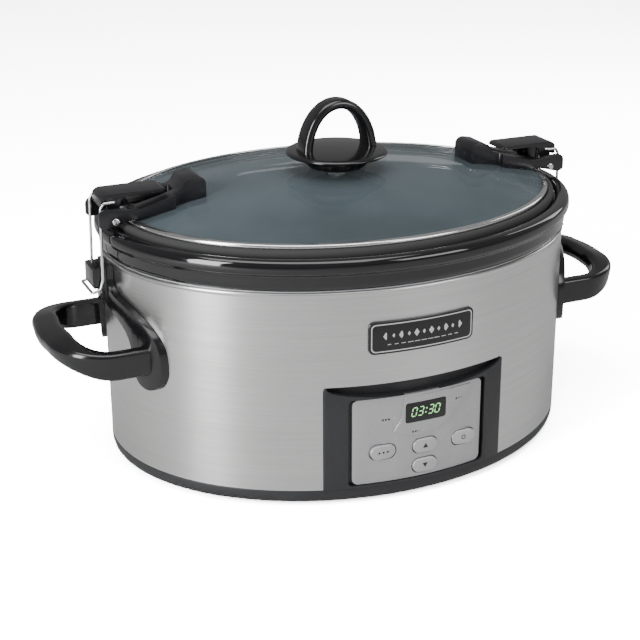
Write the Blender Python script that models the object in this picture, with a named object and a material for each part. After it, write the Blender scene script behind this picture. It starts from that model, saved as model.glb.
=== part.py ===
"""Oval slow cooker with a clip-down glass lid, in metres, +Z up, front towards -Y.

The origin is on the surface that the cooker stands on, under the middle of the body.
Every separate piece is one object.  The named values below drive all of them.
"""
import math

import bmesh
import bpy
from mathutils import Matrix, Vector

# --- Overall body ---------------------------------------------------------------------------
BODY_HALF_LENGTH = 0.165
BODY_HALF_DEPTH = 0.1325
FOOT_HEIGHT = 0.0025
BASE_RING_HEIGHT = 0.0092
WRAP_HEIGHT = 0.1352
WRAP_WALL = 0.0010
TRAY_FLOOR = 0.0025
TRAY_WALL = 0.0025
TRAY_UPSTAND = 0.012
CLEARANCE = 0.0003
OVAL_SEGMENTS = 56
ROUND_SEGMENTS = 16

RING_BOTTOM = FOOT_HEIGHT
WRAP_BOTTOM = RING_BOTTOM + BASE_RING_HEIGHT
WRAP_TOP = WRAP_BOTTOM + WRAP_HEIGHT
FLOOR_TOP = RING_BOTTOM + TRAY_FLOOR

# --- Feet, screws and inlet -----------------------------------------------------------------
FOOT_RADIUS = 0.009
FOOT_X = 0.092
FOOT_Y = 0.070
FOOT_RECESS_RADIUS = 0.0046
SCREW_RADIUS = 0.0016
SCREW_HEAD_RADIUS = 0.0036
BOSS_RADIUS = 0.0055
BOSS_HEIGHT = 0.0045
GLAND_X = 0.060
GLAND_Z = 0.030
GLAND_RADIUS = 0.006
WELL_BOSS_LOW = 0.0135
POWER_BOARD_Z = 0.0080

# --- Heating well, element and crock --------------------------------------------------------
WELL_WALL = 0.0008
WELL_TOP_INSET = 0.0145
WELL_FOOT_INSET = 0.0245
WELL_FLOOR = 0.0225
WELL_CORNER = 0.009
HEATER_LOW = 0.040
HEATER_HIGH = 0.085
HEATER_THICKNESS = 0.0020
CROCK_GAP = 0.0030
CROCK_WALL = 0.0068
CROCK_LIFT = 0.0035
COLLAR_HEIGHT = 0.0205
LIP_OVERHANG = 0.0043
LEDGE_DEPTH = 0.0028
LEDGE_OUTER_INSET = 0.0055
LEDGE_INNER_INSET = 0.0170

# --- Lid ------------------------------------------------------------------------------------
GASKET_OUTER_INSET = 0.0070
GASKET_INNER_INSET = 0.0112
GASKET_HEIGHT = 0.0060
RIM_WALL = 0.0008
RIM_HEIGHT = 0.0052
GLASS_THICKNESS = 0.0040
DOME_INSET = 0.0165
DOME_RISE = 0.0150
DISC_RADIUS = 0.0358
STEM_RADIUS = 0.0250
STEM_FOOT_RADIUS = 0.0215
STEM_HEIGHT = 0.0088
ARCH_HALF_WIDTH = 0.0240
ARCH_HEIGHT = 0.0335
ARCH_BAND = 0.0066
ARCH_WIDTH = 0.0150

# --- Latches --------------------------------------------------------------------------------
LATCH_INNER_X = 0.0995
LATCH_BLOCK_LENGTH = 0.0170
LATCH_HALF_WIDTH = 0.0175
LATCH_FORK_HALF_GAP = 0.0148
LATCH_OUTER_X = 0.1735
LATCH_SCREW_X = 0.1070
HINGE_X = 0.1625
HINGE_Z = 0.1752
HINGE_PIN_RADIUS = 0.0014
BAIL_PIVOT_INBOARD = 0.0010
BAIL_PIVOT_RISE = 0.0118
BAIL_WIRE_RADIUS = 0.0010
BAIL_HALF_WIDTH = 0.0130
LEVER_HALF_WIDTH = 0.0108
LEVER_THICKNESS = 0.0028
LEVER_INNER_X = 0.1250
LEVER_OUTER_X = 0.1700
LEVER_EAR = 0.0022

# --- Side handles with their hooks ----------------------------------------------------------
HANDLE_REACH = 0.0490
HANDLE_HALF_SPAN = 0.0500
HANDLE_STRAP_HEIGHT = 0.0185
HANDLE_STRAP_THICKNESS = 0.0090
HANDLE_GRIP_DEPTH = 0.0190
HANDLE_GRIP_HEIGHT = 0.0130
HANDLE_Z = 0.0905
HANDLE_GRIP_RISE = 0.0080
PLATE_THICKNESS = 0.0042
PLATE_TOP = WRAP_TOP - 0.0028
HOOK_HALF_WIDTH = 0.0100
HOOK_LOW = 0.1290
HOOK_HIGH = 0.1430
HOOK_NOSE_X = 0.1780

# --- Control panel --------------------------------------------------------------------------
PANEL_HALF_WIDTH = 0.0645
PANEL_TOP = 0.0835
BEZEL_PROUD = 0.0010
BEZEL_DEPTH = 0.0095
FASCIA_HALF_WIDTH = 0.0465
FASCIA_LOW = 0.0140
FASCIA_HIGH = 0.0735
FASCIA_THICKNESS = 0.0020
FASCIA_LEDGE = 0.0012
SLOT_DEPTH = 0.0022
BUTTON_HALF_WIDTH = 0.0088
BUTTON_HALF_HEIGHT = 0.0050
BUTTON_PROUD = 0.0012
BUTTON_GAP = 0.0004
BUTTON_TRAVEL = 0.0008
BUTTON_LENGTH = 0.0085
DISPLAY_X = 0.0030
DISPLAY_Z = 0.0605
DISPLAY_HALF_WIDTH = 0.0144
DISPLAY_HALF_HEIGHT = 0.0067
BOARD_HALF_WIDTH = 0.0370
BOARD_Y = 0.1175
BOARD_THICKNESS = 0.0016
BADGE_HALF_WIDTH = 0.0370
BADGE_HALF_HEIGHT = 0.0108
BADGE_Z = 0.1150
BADGE_THICKNESS = 0.0012
BUTTONS = {
    "button_select": (-0.0265, 0.0355),
    "button_up": (0.0030, 0.0355),
    "button_down": (0.0030, 0.0215),
    "button_off": (0.0325, 0.0345),
}
INDICATORS = {"high": (-0.0185, 0.0580), "low": (0.0215, 0.0640), "warm": (0.0015, 0.0470)}
INDICATOR_RADIUS = 0.0012

MATERIALS = {
    "steel": ((0.62, 0.62, 0.61), 0.32, 1.0),
    "gloss_black": ((0.012, 0.012, 0.013), 0.18, 0.0),
    "matt_black": ((0.03, 0.03, 0.032), 0.45, 0.0),
    "ring_grey": ((0.055, 0.056, 0.06), 0.42, 0.0),
    "silver_paint": ((0.42, 0.42, 0.43), 0.35, 0.4),
    "glaze": ((0.010, 0.010, 0.011), 0.10, 0.0),
    "glass": ((0.62, 0.68, 0.70), 0.05, 0.0),
    "rubber": ((0.02, 0.02, 0.02), 0.70, 0.0),
    "bright_wire": ((0.70, 0.70, 0.70), 0.22, 1.0),
    "board_green": ((0.02, 0.10, 0.05), 0.50, 0.0),
    "well_metal": ((0.45, 0.46, 0.47), 0.40, 0.8),
    "mica": ((0.50, 0.44, 0.33), 0.60, 0.1),
}


def finish(name):
    """Return the Principled material of that name, made on its first use."""
    material = bpy.data.materials.get(name)
    if material:
        return material
    colour, roughness, metallic = MATERIALS[name]
    material = bpy.data.materials.new(name)
    material.use_nodes = True
    shader = material.node_tree.nodes["Principled BSDF"]
    shader.inputs["Base Color"].default_value = (*colour, 1.0)
    shader.inputs["Roughness"].default_value = roughness
    shader.inputs["Metallic"].default_value = metallic
    material.diffuse_color = (*colour, 1.0)
    return material


def add_object(name, bm, material, origin=(0.0, 0.0, 0.0), sharp_angle=35.0):
    """Turn a closed bmesh into a named object whose origin lies at the given point."""
    bmesh.ops.recalc_face_normals(bm, faces=bm.faces)
    if bm.calc_volume(signed=True) < 0.0:
        bmesh.ops.reverse_faces(bm, faces=bm.faces)
    bmesh.ops.translate(bm, verts=bm.verts, vec=-Vector(origin))
    mesh = bpy.data.meshes.new(name)
    bm.to_mesh(mesh)
    bm.free()
    mesh.shade_smooth()
    mesh.set_sharp_from_angle(angle=math.radians(sharp_angle))
    piece = bpy.data.objects.new(name, mesh)
    piece.location = origin
    piece.data.materials.append(finish(material))
    bpy.context.scene.collection.objects.link(piece)
    return piece


def loft(bm, sections, ring=False):
    """Skin a row of equal-sized closed sections; ring joins the last one to the first."""
    loops = [[bm.verts.new(point) for point in section] for section in sections]
    pairs = list(zip(loops, loops[1:]))
    if ring:
        pairs.append((loops[-1], loops[0]))
    else:
        bm.faces.new(loops[0])
        bm.faces.new(loops[-1])
    for first, second in pairs:
        for index, vertex in enumerate(first):
            after = (index + 1) % len(first)
            bm.faces.new((vertex, first[after], second[after], second[index]))


def oval_points(half_length, half_depth, z, segments):
    """Points round a level ellipse about the Z axis."""
    turn = 2.0 * math.pi / segments
    return [
        Vector((half_length * math.cos(i * turn), half_depth * math.sin(i * turn), z))
        for i in range(segments)
    ]


def body_oval(inset, z):
    """An ellipse inside the body's outline: its two half axes and its height."""
    return BODY_HALF_LENGTH - inset, BODY_HALF_DEPTH - inset, z


def oval_piece(name, rings, material, ring=False, segments=OVAL_SEGMENTS):
    """A piece lofted through ellipses given as (half length, half depth, z)."""
    bm = bmesh.new()
    loft(bm, [oval_points(*level, segments) for level in rings], ring)
    return add_object(name, bm, material)


def turned(name, profile, material, matrix=None, segments=ROUND_SEGMENTS, ring=False):
    """A round piece from (radius, height) pairs about Z, then placed by a matrix."""
    bm = bmesh.new()
    loft(bm, [oval_points(radius, radius, z, segments) for radius, z in profile], ring)
    bmesh.ops.transform(bm, matrix=matrix or Matrix(), verts=bm.verts)
    return add_object(name, bm, material)


def prism(name, outline, to_point, low, high, material="matt_black", origin=(0, 0, 0)):
    """Extrude a flat outline; to_point maps (u, v, w) to the world, w from low to high."""
    bm = bmesh.new()
    loft(bm, [[Vector(to_point(u, v, w)) for u, v in outline] for w in (low, high)])
    return add_object(name, bm, material, origin)


def along_x(u, v, w):
    return w, u, v


def along_y(u, v, w):
    return u, w, v


def along_z(u, v, w):
    return u, v, w


def block(name, low, high, material="matt_black"):
    """A plain rectangular block between two corners."""
    outline = [(low[0], low[1]), (high[0], low[1]), (high[0], high[1]), (low[0], high[1])]
    return prism(name, outline, along_z, low[2], high[2], material)


def rounded(half_width, half_height, radius, centre=(0.0, 0.0), steps=4):
    """A rectangle with round corners, about its centre."""
    points = []
    for quarter in range(4):
        sign_u = 1 if quarter in (0, 3) else -1
        sign_v = 1 if quarter in (0, 1) else -1
        for step in range(steps + 1):
            angle = math.radians(90.0 * (quarter + step / steps))
            points.append((
                centre[0] + sign_u * (half_width - radius) + radius * math.cos(angle),
                centre[1] + sign_v * (half_height - radius) + radius * math.sin(angle),
            ))
    return points


def helper(piece):
    """Mark a cutter or guide so that it isn't one of the cooker's pieces."""
    piece.hide_render = True
    piece.display_type = "WIRE"
    return piece


def combine(target, tool, operation):
    """Join, cut or clip a piece with another by an exact Boolean."""
    modifier = target.modifiers.new(tool.name, "BOOLEAN")
    modifier.operation = operation
    modifier.solver = "EXACT"
    modifier.object = helper(tool)
    return target


def rod(name, radius, axis, centre, low, high, segments=ROUND_SEGMENTS, material="matt_black"):
    """A straight round bar along X, Y or Z; low and high are places on that axis."""
    turn = {
        "X": Matrix.Rotation(math.radians(90.0), 4, "Y"),
        "Y": Matrix.Rotation(math.radians(-90.0), 4, "X"),
        "Z": Matrix(),
    }[axis]
    place = Matrix.Translation(centre) @ turn
    return turned(name, [(radius, low), (radius, high)], material, place, segments)


def body_x(y, inset=0.0):
    """How far along X the body's outline lies at a given Y."""
    a, b, _ = body_oval(inset, 0.0)
    return a * math.sqrt(1.0 - (y / b) ** 2)


def body_y(x, inset=0.0):
    """How far along Y the body's outline lies at a given X."""
    a, b, _ = body_oval(inset, 0.0)
    return b * math.sqrt(1.0 - (x / a) ** 2)


def skin(name, inner_inset, outer_inset, low, high):
    """A guide: the shell of space between two offsets of the body's outline."""
    rings = [
        body_oval(inner_inset, low), body_oval(outer_inset, low),
        body_oval(outer_inset, high), body_oval(inner_inset, high),
    ]
    return helper(oval_piece(name, rings, "matt_black", ring=True))


def screw(name, axis_matrix, shank_radius, head_radius, head_height, length):
    """A pan-head screw: head from 0 to head_height, then the shank up to length."""
    profile = [
        (head_radius * 0.7, 0.0), (head_radius, head_height * 0.4),
        (head_radius, head_height), (shank_radius, head_height), (shank_radius, length),
    ]
    return turned(name, profile, "bright_wire", axis_matrix, 16)


# --- Base ------------------------------------------------------------------------------------
def foot_places():
    for side_x, across in ((-1, "left"), (1, "right")):
        for side_y, along in ((-1, "front"), (1, "back")):
            yield f"{along}_{across}", side_x * FOOT_X, side_y * FOOT_Y


def make_tray():
    """The moulded floor with its visible ring, screw bosses and board posts."""
    upstand_inset = WRAP_WALL + 2 * CLEARANCE
    top = WRAP_BOTTOM - CLEARANCE
    rings = [
        body_oval(0.006, RING_BOTTOM), body_oval(0.0015, RING_BOTTOM + 0.0006),
        body_oval(0.0, RING_BOTTOM + 0.0030), body_oval(0.0, top),
        body_oval(upstand_inset, top), body_oval(upstand_inset, top + TRAY_UPSTAND),
        body_oval(upstand_inset + TRAY_WALL, top + TRAY_UPSTAND),
        body_oval(upstand_inset + TRAY_WALL, FLOOR_TOP),
    ]
    tray = oval_piece("base_tray", rings, "ring_grey")
    bay = rounded(PANEL_HALF_WIDTH + CLEARANCE, TRAY_UPSTAND, 0.002, (0.0, top + TRAY_UPSTAND))
    combine(tray, prism("tray_bay", bay, along_y, -BODY_HALF_DEPTH - 0.01, -0.10), "DIFFERENCE")
    for name, x, y in foot_places():
        boss = rod("boss_" + name, BOSS_RADIUS, "Z", (x, y, 0), FLOOR_TOP - 0.001,
                   FLOOR_TOP + BOSS_HEIGHT, 16)
        combine(tray, boss, "UNION")
        hole = rod("hole_" + name, SCREW_RADIUS + CLEARANCE, "Z", (x, y, 0), -0.01, 0.03, 16)
        combine(tray, hole, "DIFFERENCE")
    centre = rod("centre_boss", 0.009, "Z", (0, 0, 0), FLOOR_TOP - 0.001, WELL_BOSS_LOW - CLEARANCE)
    combine(tray, centre, "UNION")
    recess = turned("centre_hole", [
        (0.0058, RING_BOTTOM - 0.001), (0.0058, RING_BOTTOM + 0.0045),
        (0.0024, RING_BOTTOM + 0.0045), (0.0024, 0.03),
    ], "matt_black")
    combine(tray, recess, "DIFFERENCE")
    for side in (-1, 1):
        post = block(f"post_{side}", (side * 0.030 - 0.003, -0.060, FLOOR_TOP - 0.001),
                     (side * 0.030 + 0.003, -0.050, POWER_BOARD_Z - CLEARANCE))
        combine(tray, post, "UNION")
    return tray


def make_feet():
    """Four rubber feet, each held by a screw up into its boss."""
    for name, x, y in foot_places():
        place = Matrix.Translation((x, y, 0.0))
        turned("foot_" + name, [
            (FOOT_RADIUS - 0.0012, 0.0), (FOOT_RADIUS, 0.0010),
            (FOOT_RADIUS, FOOT_HEIGHT - CLEARANCE), (SCREW_RADIUS + CLEARANCE, FOOT_HEIGHT - CLEARANCE),
            (SCREW_RADIUS + CLEARANCE, 0.0016), (FOOT_RECESS_RADIUS, 0.0016),
            (FOOT_RECESS_RADIUS, 0.0),
        ], "rubber", place, ring=True)
        screw("foot_screw_" + name, Matrix.Translation((x, y, 0.0002)), SCREW_RADIUS,
              SCREW_HEAD_RADIUS, 0.0011, FLOOR_TOP + BOSS_HEIGHT - 0.001)


def well_inset(z):
    """Inset of the well's outer wall at a height, on its straight taper."""
    low, high = WELL_FLOOR + WELL_CORNER, WRAP_TOP - 0.006
    share = (high - z) / (high - low)
    return WELL_TOP_INSET - WELL_WALL + share * (WELL_FOOT_INSET - WELL_TOP_INSET)


def make_wrap():
    """The brushed outer wrap, open at the front for the panel."""
    bead = 0.0006
    rings = [
        body_oval(0.0, WRAP_BOTTOM), body_oval(0.0, WRAP_TOP - 0.0022),
        body_oval(-bead, WRAP_TOP - 0.0014), body_oval(-bead, WRAP_TOP - 0.0006),
        body_oval(0.0, WRAP_TOP), body_oval(WRAP_WALL, WRAP_TOP),
        body_oval(WRAP_WALL, WRAP_BOTTOM),
    ]
    wrap = oval_piece("outer_wrap", rings, "steel", ring=True)
    half_height = (PANEL_TOP - WRAP_BOTTOM + 0.01) / 2
    notch = rounded(PANEL_HALF_WIDTH, half_height, 0.0025, (0.0, PANEL_TOP - half_height))
    combine(wrap, prism("notch", notch, along_y, -BODY_HALF_DEPTH - 0.01, -0.08), "DIFFERENCE")
    gland = rod("gland_hole", GLAND_RADIUS + CLEARANCE, "Y", (GLAND_X, 0, GLAND_Z), 0.10, 0.15)
    combine(wrap, gland, "DIFFERENCE")
    for side in (-1, 1):
        for end in (-1, 1):
            centre = (0, end * HANDLE_HALF_SPAN, HANDLE_Z)
            hole = rod(f"wrap_hole_{side}_{end}", SCREW_RADIUS + 0.0008, "X", centre,
                       *sorted((side * 0.14, side * 0.17)), 12)
            combine(wrap, hole, "DIFFERENCE")
    return wrap


def make_well():
    """The heating well, hung by its rim on the wrap and bolted down at its middle."""
    rim = WRAP_TOP + CLEARANCE
    straight = WRAP_TOP - 0.006
    corner = WELL_FLOOR + WELL_CORNER
    inner = [
        body_oval(WELL_FOOT_INSET + 0.006, WELL_FLOOR), body_oval(WELL_FOOT_INSET, corner),
        body_oval(WELL_TOP_INSET, straight), body_oval(WELL_TOP_INSET, rim + WELL_WALL),
    ]
    outer = [
        body_oval(0.0008, rim + WELL_WALL), body_oval(0.0008, rim),
        body_oval(WELL_TOP_INSET - WELL_WALL, rim), body_oval(WELL_TOP_INSET - WELL_WALL, straight),
        body_oval(WELL_FOOT_INSET - WELL_WALL, corner),
        body_oval(WELL_FOOT_INSET + 0.0055, WELL_FLOOR - WELL_WALL),
    ]
    well = oval_piece("heating_well", inner + outer, "well_metal")
    boss = rod("well_boss", 0.006, "Z", (0, 0, 0), WELL_BOSS_LOW, WELL_FLOOR - WELL_WALL / 2)
    combine(well, boss, "UNION")
    bore = rod("well_bore", 0.0023, "Z", (0, 0, 0), 0.01, WELL_FLOOR - 0.002)
    combine(well, bore, "DIFFERENCE")
    screw("well_bolt", Matrix.Translation((0, 0, RING_BOTTOM + 0.001)), 0.0020, 0.0054, 0.0030, 0.017)
    return well


def make_heater():
    """The band element round the well, its clamp, fuse and sensor."""
    inner, outer = CLEARANCE, CLEARANCE + HEATER_THICKNESS
    levels = (HEATER_LOW, HEATER_HIGH)
    rings = [body_oval(well_inset(z) - inner, z) for z in levels]
    rings += [body_oval(well_inset(z) - outer, z) for z in reversed(levels)]
    oval_piece("heater_band", rings, "mica", ring=True)
    clamp_low, clamp_high = 0.050, 0.076
    face = body_y(0.008, well_inset(clamp_high) - outer) + CLEARANCE + 0.0004
    block("heater_clamp", (-0.008, face, clamp_low), (0.008, face + 0.0050, clamp_high), "bright_wire")
    fuse_z, fuse_radius = 0.062, 0.0020
    fuse_y = body_y(0.018, well_inset(fuse_z) - outer) + fuse_radius + 2 * CLEARANCE
    turned("thermal_fuse", [
        (0.0008, -0.009), (0.0008, -0.006), (fuse_radius, -0.006), (fuse_radius, 0.006),
        (0.0008, 0.006), (0.0008, 0.009),
    ], "silver_paint", Matrix.Translation((-0.026, fuse_y, fuse_z))
        @ Matrix.Rotation(math.radians(90.0), 4, "Y"), 12)
    turned("temperature_sensor", [
        (0.0045, WELL_FLOOR - 0.0095), (0.0045, WELL_FLOOR - 0.003), (0.0070, WELL_FLOOR - 0.003),
        (0.0070, WELL_FLOOR - WELL_WALL - CLEARANCE),
    ], "bright_wire", Matrix.Translation((0.045, 0, 0)))


def make_power_board():
    """The relay and supply board on the tray's posts."""
    low = POWER_BOARD_Z
    board = block("power_board", (-0.036, -0.075, low), (0.036, -0.040, low + 0.0016), "board_green")
    parts = {
        "relay": ((0.008, -0.070, 0), (0.026, -0.056, 0.0100)),
        "transformer": ((-0.028, -0.072, 0), (-0.010, -0.056, 0.0105)),
        "terminal": ((-0.006, -0.052, 0), (0.006, -0.043, 0.0085)),
    }
    for name, (corner, opposite) in parts.items():
        start = Vector(corner) + Vector((0, 0, low + 0.0008))
        end = Vector(opposite) + Vector((0, 0, low))
        combine(board, block(name, start, end), "UNION")


def make_gland():
    """The bush at the back where the mains lead enters."""
    outer = body_y(GLAND_X)
    bush = GLAND_RADIUS + 0.0022
    place = Matrix.Translation((GLAND_X, 0, GLAND_Z)) @ Matrix.Rotation(math.radians(-90.0), 4, "X")
    turned("cord_gland", [
        (0.0036, outer - 0.009), (GLAND_RADIUS, outer - 0.009), (GLAND_RADIUS, outer + 0.0022),
        (bush, outer + 0.0022), (bush, outer + 0.0042), (0.0052, outer + 0.0072),
        (0.0036, outer + 0.0072),
    ], "rubber", place, 20)
    gland = bpy.data.objects["cord_gland"]
    bore = rod("gland_bore", 0.0034, "Y", (GLAND_X, 0, GLAND_Z), outer - 0.02, outer + 0.02, 16)
    combine(gland, bore, "DIFFERENCE")


# --- Control panel ----------------------------------------------------------------------------
def panel_prism(name, half_width, low, high, radius):
    """A guide that runs front to back through the panel."""
    outline = rounded(half_width, (high - low) / 2, radius, (0.0, (low + high) / 2))
    return prism(name, outline, along_y, -BODY_HALF_DEPTH - 0.02, -0.09)


def make_bezel():
    """The dark frame that fills the wrap's opening, with a shallow crescent under the steel."""
    low, high = WRAP_BOTTOM, PANEL_TOP - CLEARANCE
    bezel = skin("control_bezel", BEZEL_DEPTH, -BEZEL_PROUD, low, high + 0.01)
    bezel.hide_render = False
    bezel.display_type = "TEXTURED"
    bezel.data.materials[0] = finish("ring_grey")
    combine(bezel, panel_prism("bezel_outline", PANEL_HALF_WIDTH - CLEARANCE, low, high, 0.0022),
            "INTERSECT")
    recess = skin("recess", SLOT_DEPTH, -0.02, low - 0.01, high + 0.01)
    combine(recess, panel_prism("recess_outline", FASCIA_HALF_WIDTH + 0.0028,
                                FASCIA_LOW - 0.0006, FASCIA_HIGH + 0.0006, 0.0030), "INTERSECT")
    combine(bezel, recess, "DIFFERENCE")
    combine(bezel, panel_prism("bezel_window", FASCIA_HALF_WIDTH - FASCIA_LEDGE,
                               FASCIA_LOW + FASCIA_LEDGE, FASCIA_HIGH - FASCIA_LEDGE, 0.0030), "DIFFERENCE")
    sag, reach = 0.0055, PANEL_HALF_WIDTH - 0.006
    crescent = [(reach * math.sin(math.radians(a)), high - sag * math.cos(math.radians(a)) - 0.0005)
                for a in range(-90, 91, 15)]
    crescent += [(reach, high + 0.002), (-reach, high + 0.002)]
    scoop = skin("scoop", 0.0045, -0.02, low - 0.01, high + 0.02)
    combine(scoop, prism("scoop_outline", crescent, along_y, -0.20, -0.09), "INTERSECT")
    combine(bezel, scoop, "DIFFERENCE")


def make_fascia():
    """The silver face plate, holed for the window, the buttons and the light pipes."""
    back = SLOT_DEPTH - CLEARANCE
    fascia = skin("control_fascia", back, back - FASCIA_THICKNESS, WRAP_BOTTOM, PANEL_TOP)
    fascia.hide_render = False
    fascia.display_type = "TEXTURED"
    fascia.data.materials[0] = finish("silver_paint")
    combine(fascia, panel_prism("fascia_outline", FASCIA_HALF_WIDTH, FASCIA_LOW, FASCIA_HIGH, 0.004),
            "INTERSECT")
    window = rounded(DISPLAY_HALF_WIDTH + CLEARANCE, DISPLAY_HALF_HEIGHT + CLEARANCE, 0.002,
                     (DISPLAY_X, DISPLAY_Z))
    combine(fascia, prism("window_hole", window, along_y, -0.16, -0.10), "DIFFERENCE")
    for name, centre in BUTTONS.items():
        outline = rounded(BUTTON_HALF_WIDTH + BUTTON_GAP, BUTTON_HALF_HEIGHT + BUTTON_GAP,
                          BUTTON_HALF_HEIGHT, centre)
        combine(fascia, prism(name + "_hole", outline, along_y, -0.16, -0.10), "DIFFERENCE")
    for name, (x, z) in INDICATORS.items():
        hole = rod(name + "_hole", INDICATOR_RADIUS + CLEARANCE, "Y", (x, 0, z), -0.16, -0.10, 12)
        combine(fascia, hole, "DIFFERENCE")


def make_controls():
    """Buttons, window, display, light pipes and the board behind them."""
    proud = SLOT_DEPTH - CLEARANCE - FASCIA_THICKNESS
    for name, (x, z) in BUTTONS.items():
        face = -body_y(x, proud) - BUTTON_PROUD
        outline = rounded(BUTTON_HALF_WIDTH, BUTTON_HALF_HEIGHT, BUTTON_HALF_HEIGHT - 0.0004, (x, z))
        prism(name, outline, along_y, face, face + BUTTON_LENGTH, "silver_paint", (x, face, z))
    window_back = -BOARD_Y - BOARD_THICKNESS - 0.0062
    outline = rounded(DISPLAY_HALF_WIDTH, DISPLAY_HALF_HEIGHT, 0.0017, (DISPLAY_X, DISPLAY_Z))
    prism("display_window", outline, along_y, -body_y(0.0, proud) - 0.0004, window_back, "gloss_black")
    board_face = -BOARD_Y - BOARD_THICKNESS
    block("display_module", (DISPLAY_X - 0.017, window_back + CLEARANCE, DISPLAY_Z - 0.0085),
          (DISPLAY_X + 0.017, board_face - CLEARANCE, DISPLAY_Z + 0.0085), "board_green")
    for name, (x, z) in INDICATORS.items():
        front = -body_y(x, proud) - 0.0002
        back = window_back - CLEARANCE if name == "warm" else board_face - CLEARANCE
        rod("indicator_" + name, INDICATOR_RADIUS, "Y", (x, 0, z), front, back, 12, "glass")
    board = block("control_board", (-BOARD_HALF_WIDTH, board_face, 0.0170),
                  (BOARD_HALF_WIDTH, -BOARD_Y, 0.0720), "board_green")
    for name, (x, z) in BUTTONS.items():
        switch_face = -body_y(x, proud) - BUTTON_PROUD + BUTTON_LENGTH + BUTTON_TRAVEL + CLEARANCE
        switch = block(name + "_switch", (x - 0.003, min(switch_face, board_face - 0.0005), z - 0.003),
                       (x + 0.003, board_face + 0.0004, z + 0.003))
        combine(board, switch, "UNION")


def make_badge():
    """The plain name plate on the front."""
    back = -CLEARANCE
    plate = skin("nameplate", back, back - BADGE_THICKNESS, BADGE_Z - 0.03, BADGE_Z + 0.03)
    plate.hide_render = False
    plate.display_type = "TEXTURED"
    plate.data.materials[0] = finish("gloss_black")
    outline = rounded(BADGE_HALF_WIDTH, BADGE_HALF_HEIGHT, 0.004, (0.0, BADGE_Z))
    combine(plate, prism("badge_outline", outline, along_y, -0.17, -0.09), "INTERSECT")


# --- Side handles -----------------------------------------------------------------------------
def handle_stations():
    """Plan points round the handle from front root to back root, with the strap's sizes."""
    root = body_x(HANDLE_HALF_SPAN) - 0.004
    reach = BODY_HALF_LENGTH + HANDLE_REACH - HANDLE_GRIP_DEPTH / 2
    bend = 0.028
    arm_end = reach - bend
    stations = [(root, -HANDLE_HALF_SPAN, 0.0)]
    for step in range(7):
        angle = math.radians(90.0 * step / 6)
        stations.append((arm_end + bend * math.sin(angle),
                         -HANDLE_HALF_SPAN + (bend + 0.004) * (1 - math.cos(angle)), step / 6))
    stations.append((reach + 0.0015, 0.0, 1.0))
    return stations + [(x, -y, share) for x, y, share in reversed(stations[:-1])]


def strap_section(x, y, along, share):
    """One eight-sided section of the strap, square to its run in plan."""
    across = Vector((along.y, -along.x, 0.0))
    thick = HANDLE_STRAP_THICKNESS + share * (HANDLE_GRIP_DEPTH - HANDLE_STRAP_THICKNESS)
    tall = HANDLE_STRAP_HEIGHT + share * (HANDLE_GRIP_HEIGHT - HANDLE_STRAP_HEIGHT)
    middle = Vector((x, y, HANDLE_Z + share * HANDLE_GRIP_RISE))
    chamfer = 0.0025
    half, up = thick / 2, tall / 2
    corners = [
        (half, up - chamfer), (half - chamfer, up), (chamfer - half, up), (-half, up - chamfer),
        (-half, chamfer - up), (chamfer - half, -up), (half - chamfer, -up), (half, chamfer - up),
    ]
    return [middle + across * u + Vector((0, 0, v)) for u, v in corners]


def plate_outline():
    """The arched plate on the body: two hanging lobes joined over the top by a band."""
    outer = [(0.0625, 0.092), (0.0600, 0.104), (0.0500, 0.1150), (0.0340, 0.1225), (0.0150, 0.1270),
             (0.0115, PLATE_TOP)]
    inner = [(0.0385, 0.094), (0.0350, 0.1035), (0.0250, 0.1110), (0.0080, 0.1160)]
    lobe = [(0.0505 + 0.0120 * math.cos(math.radians(a)), 0.0830 + 0.0125 * math.sin(math.radians(a)))
            for a in range(-180, 1, 30)]
    right = list(reversed(inner)) + lobe + outer
    left = [(-u, v) for u, v in reversed(right)]
    return right + left


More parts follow.
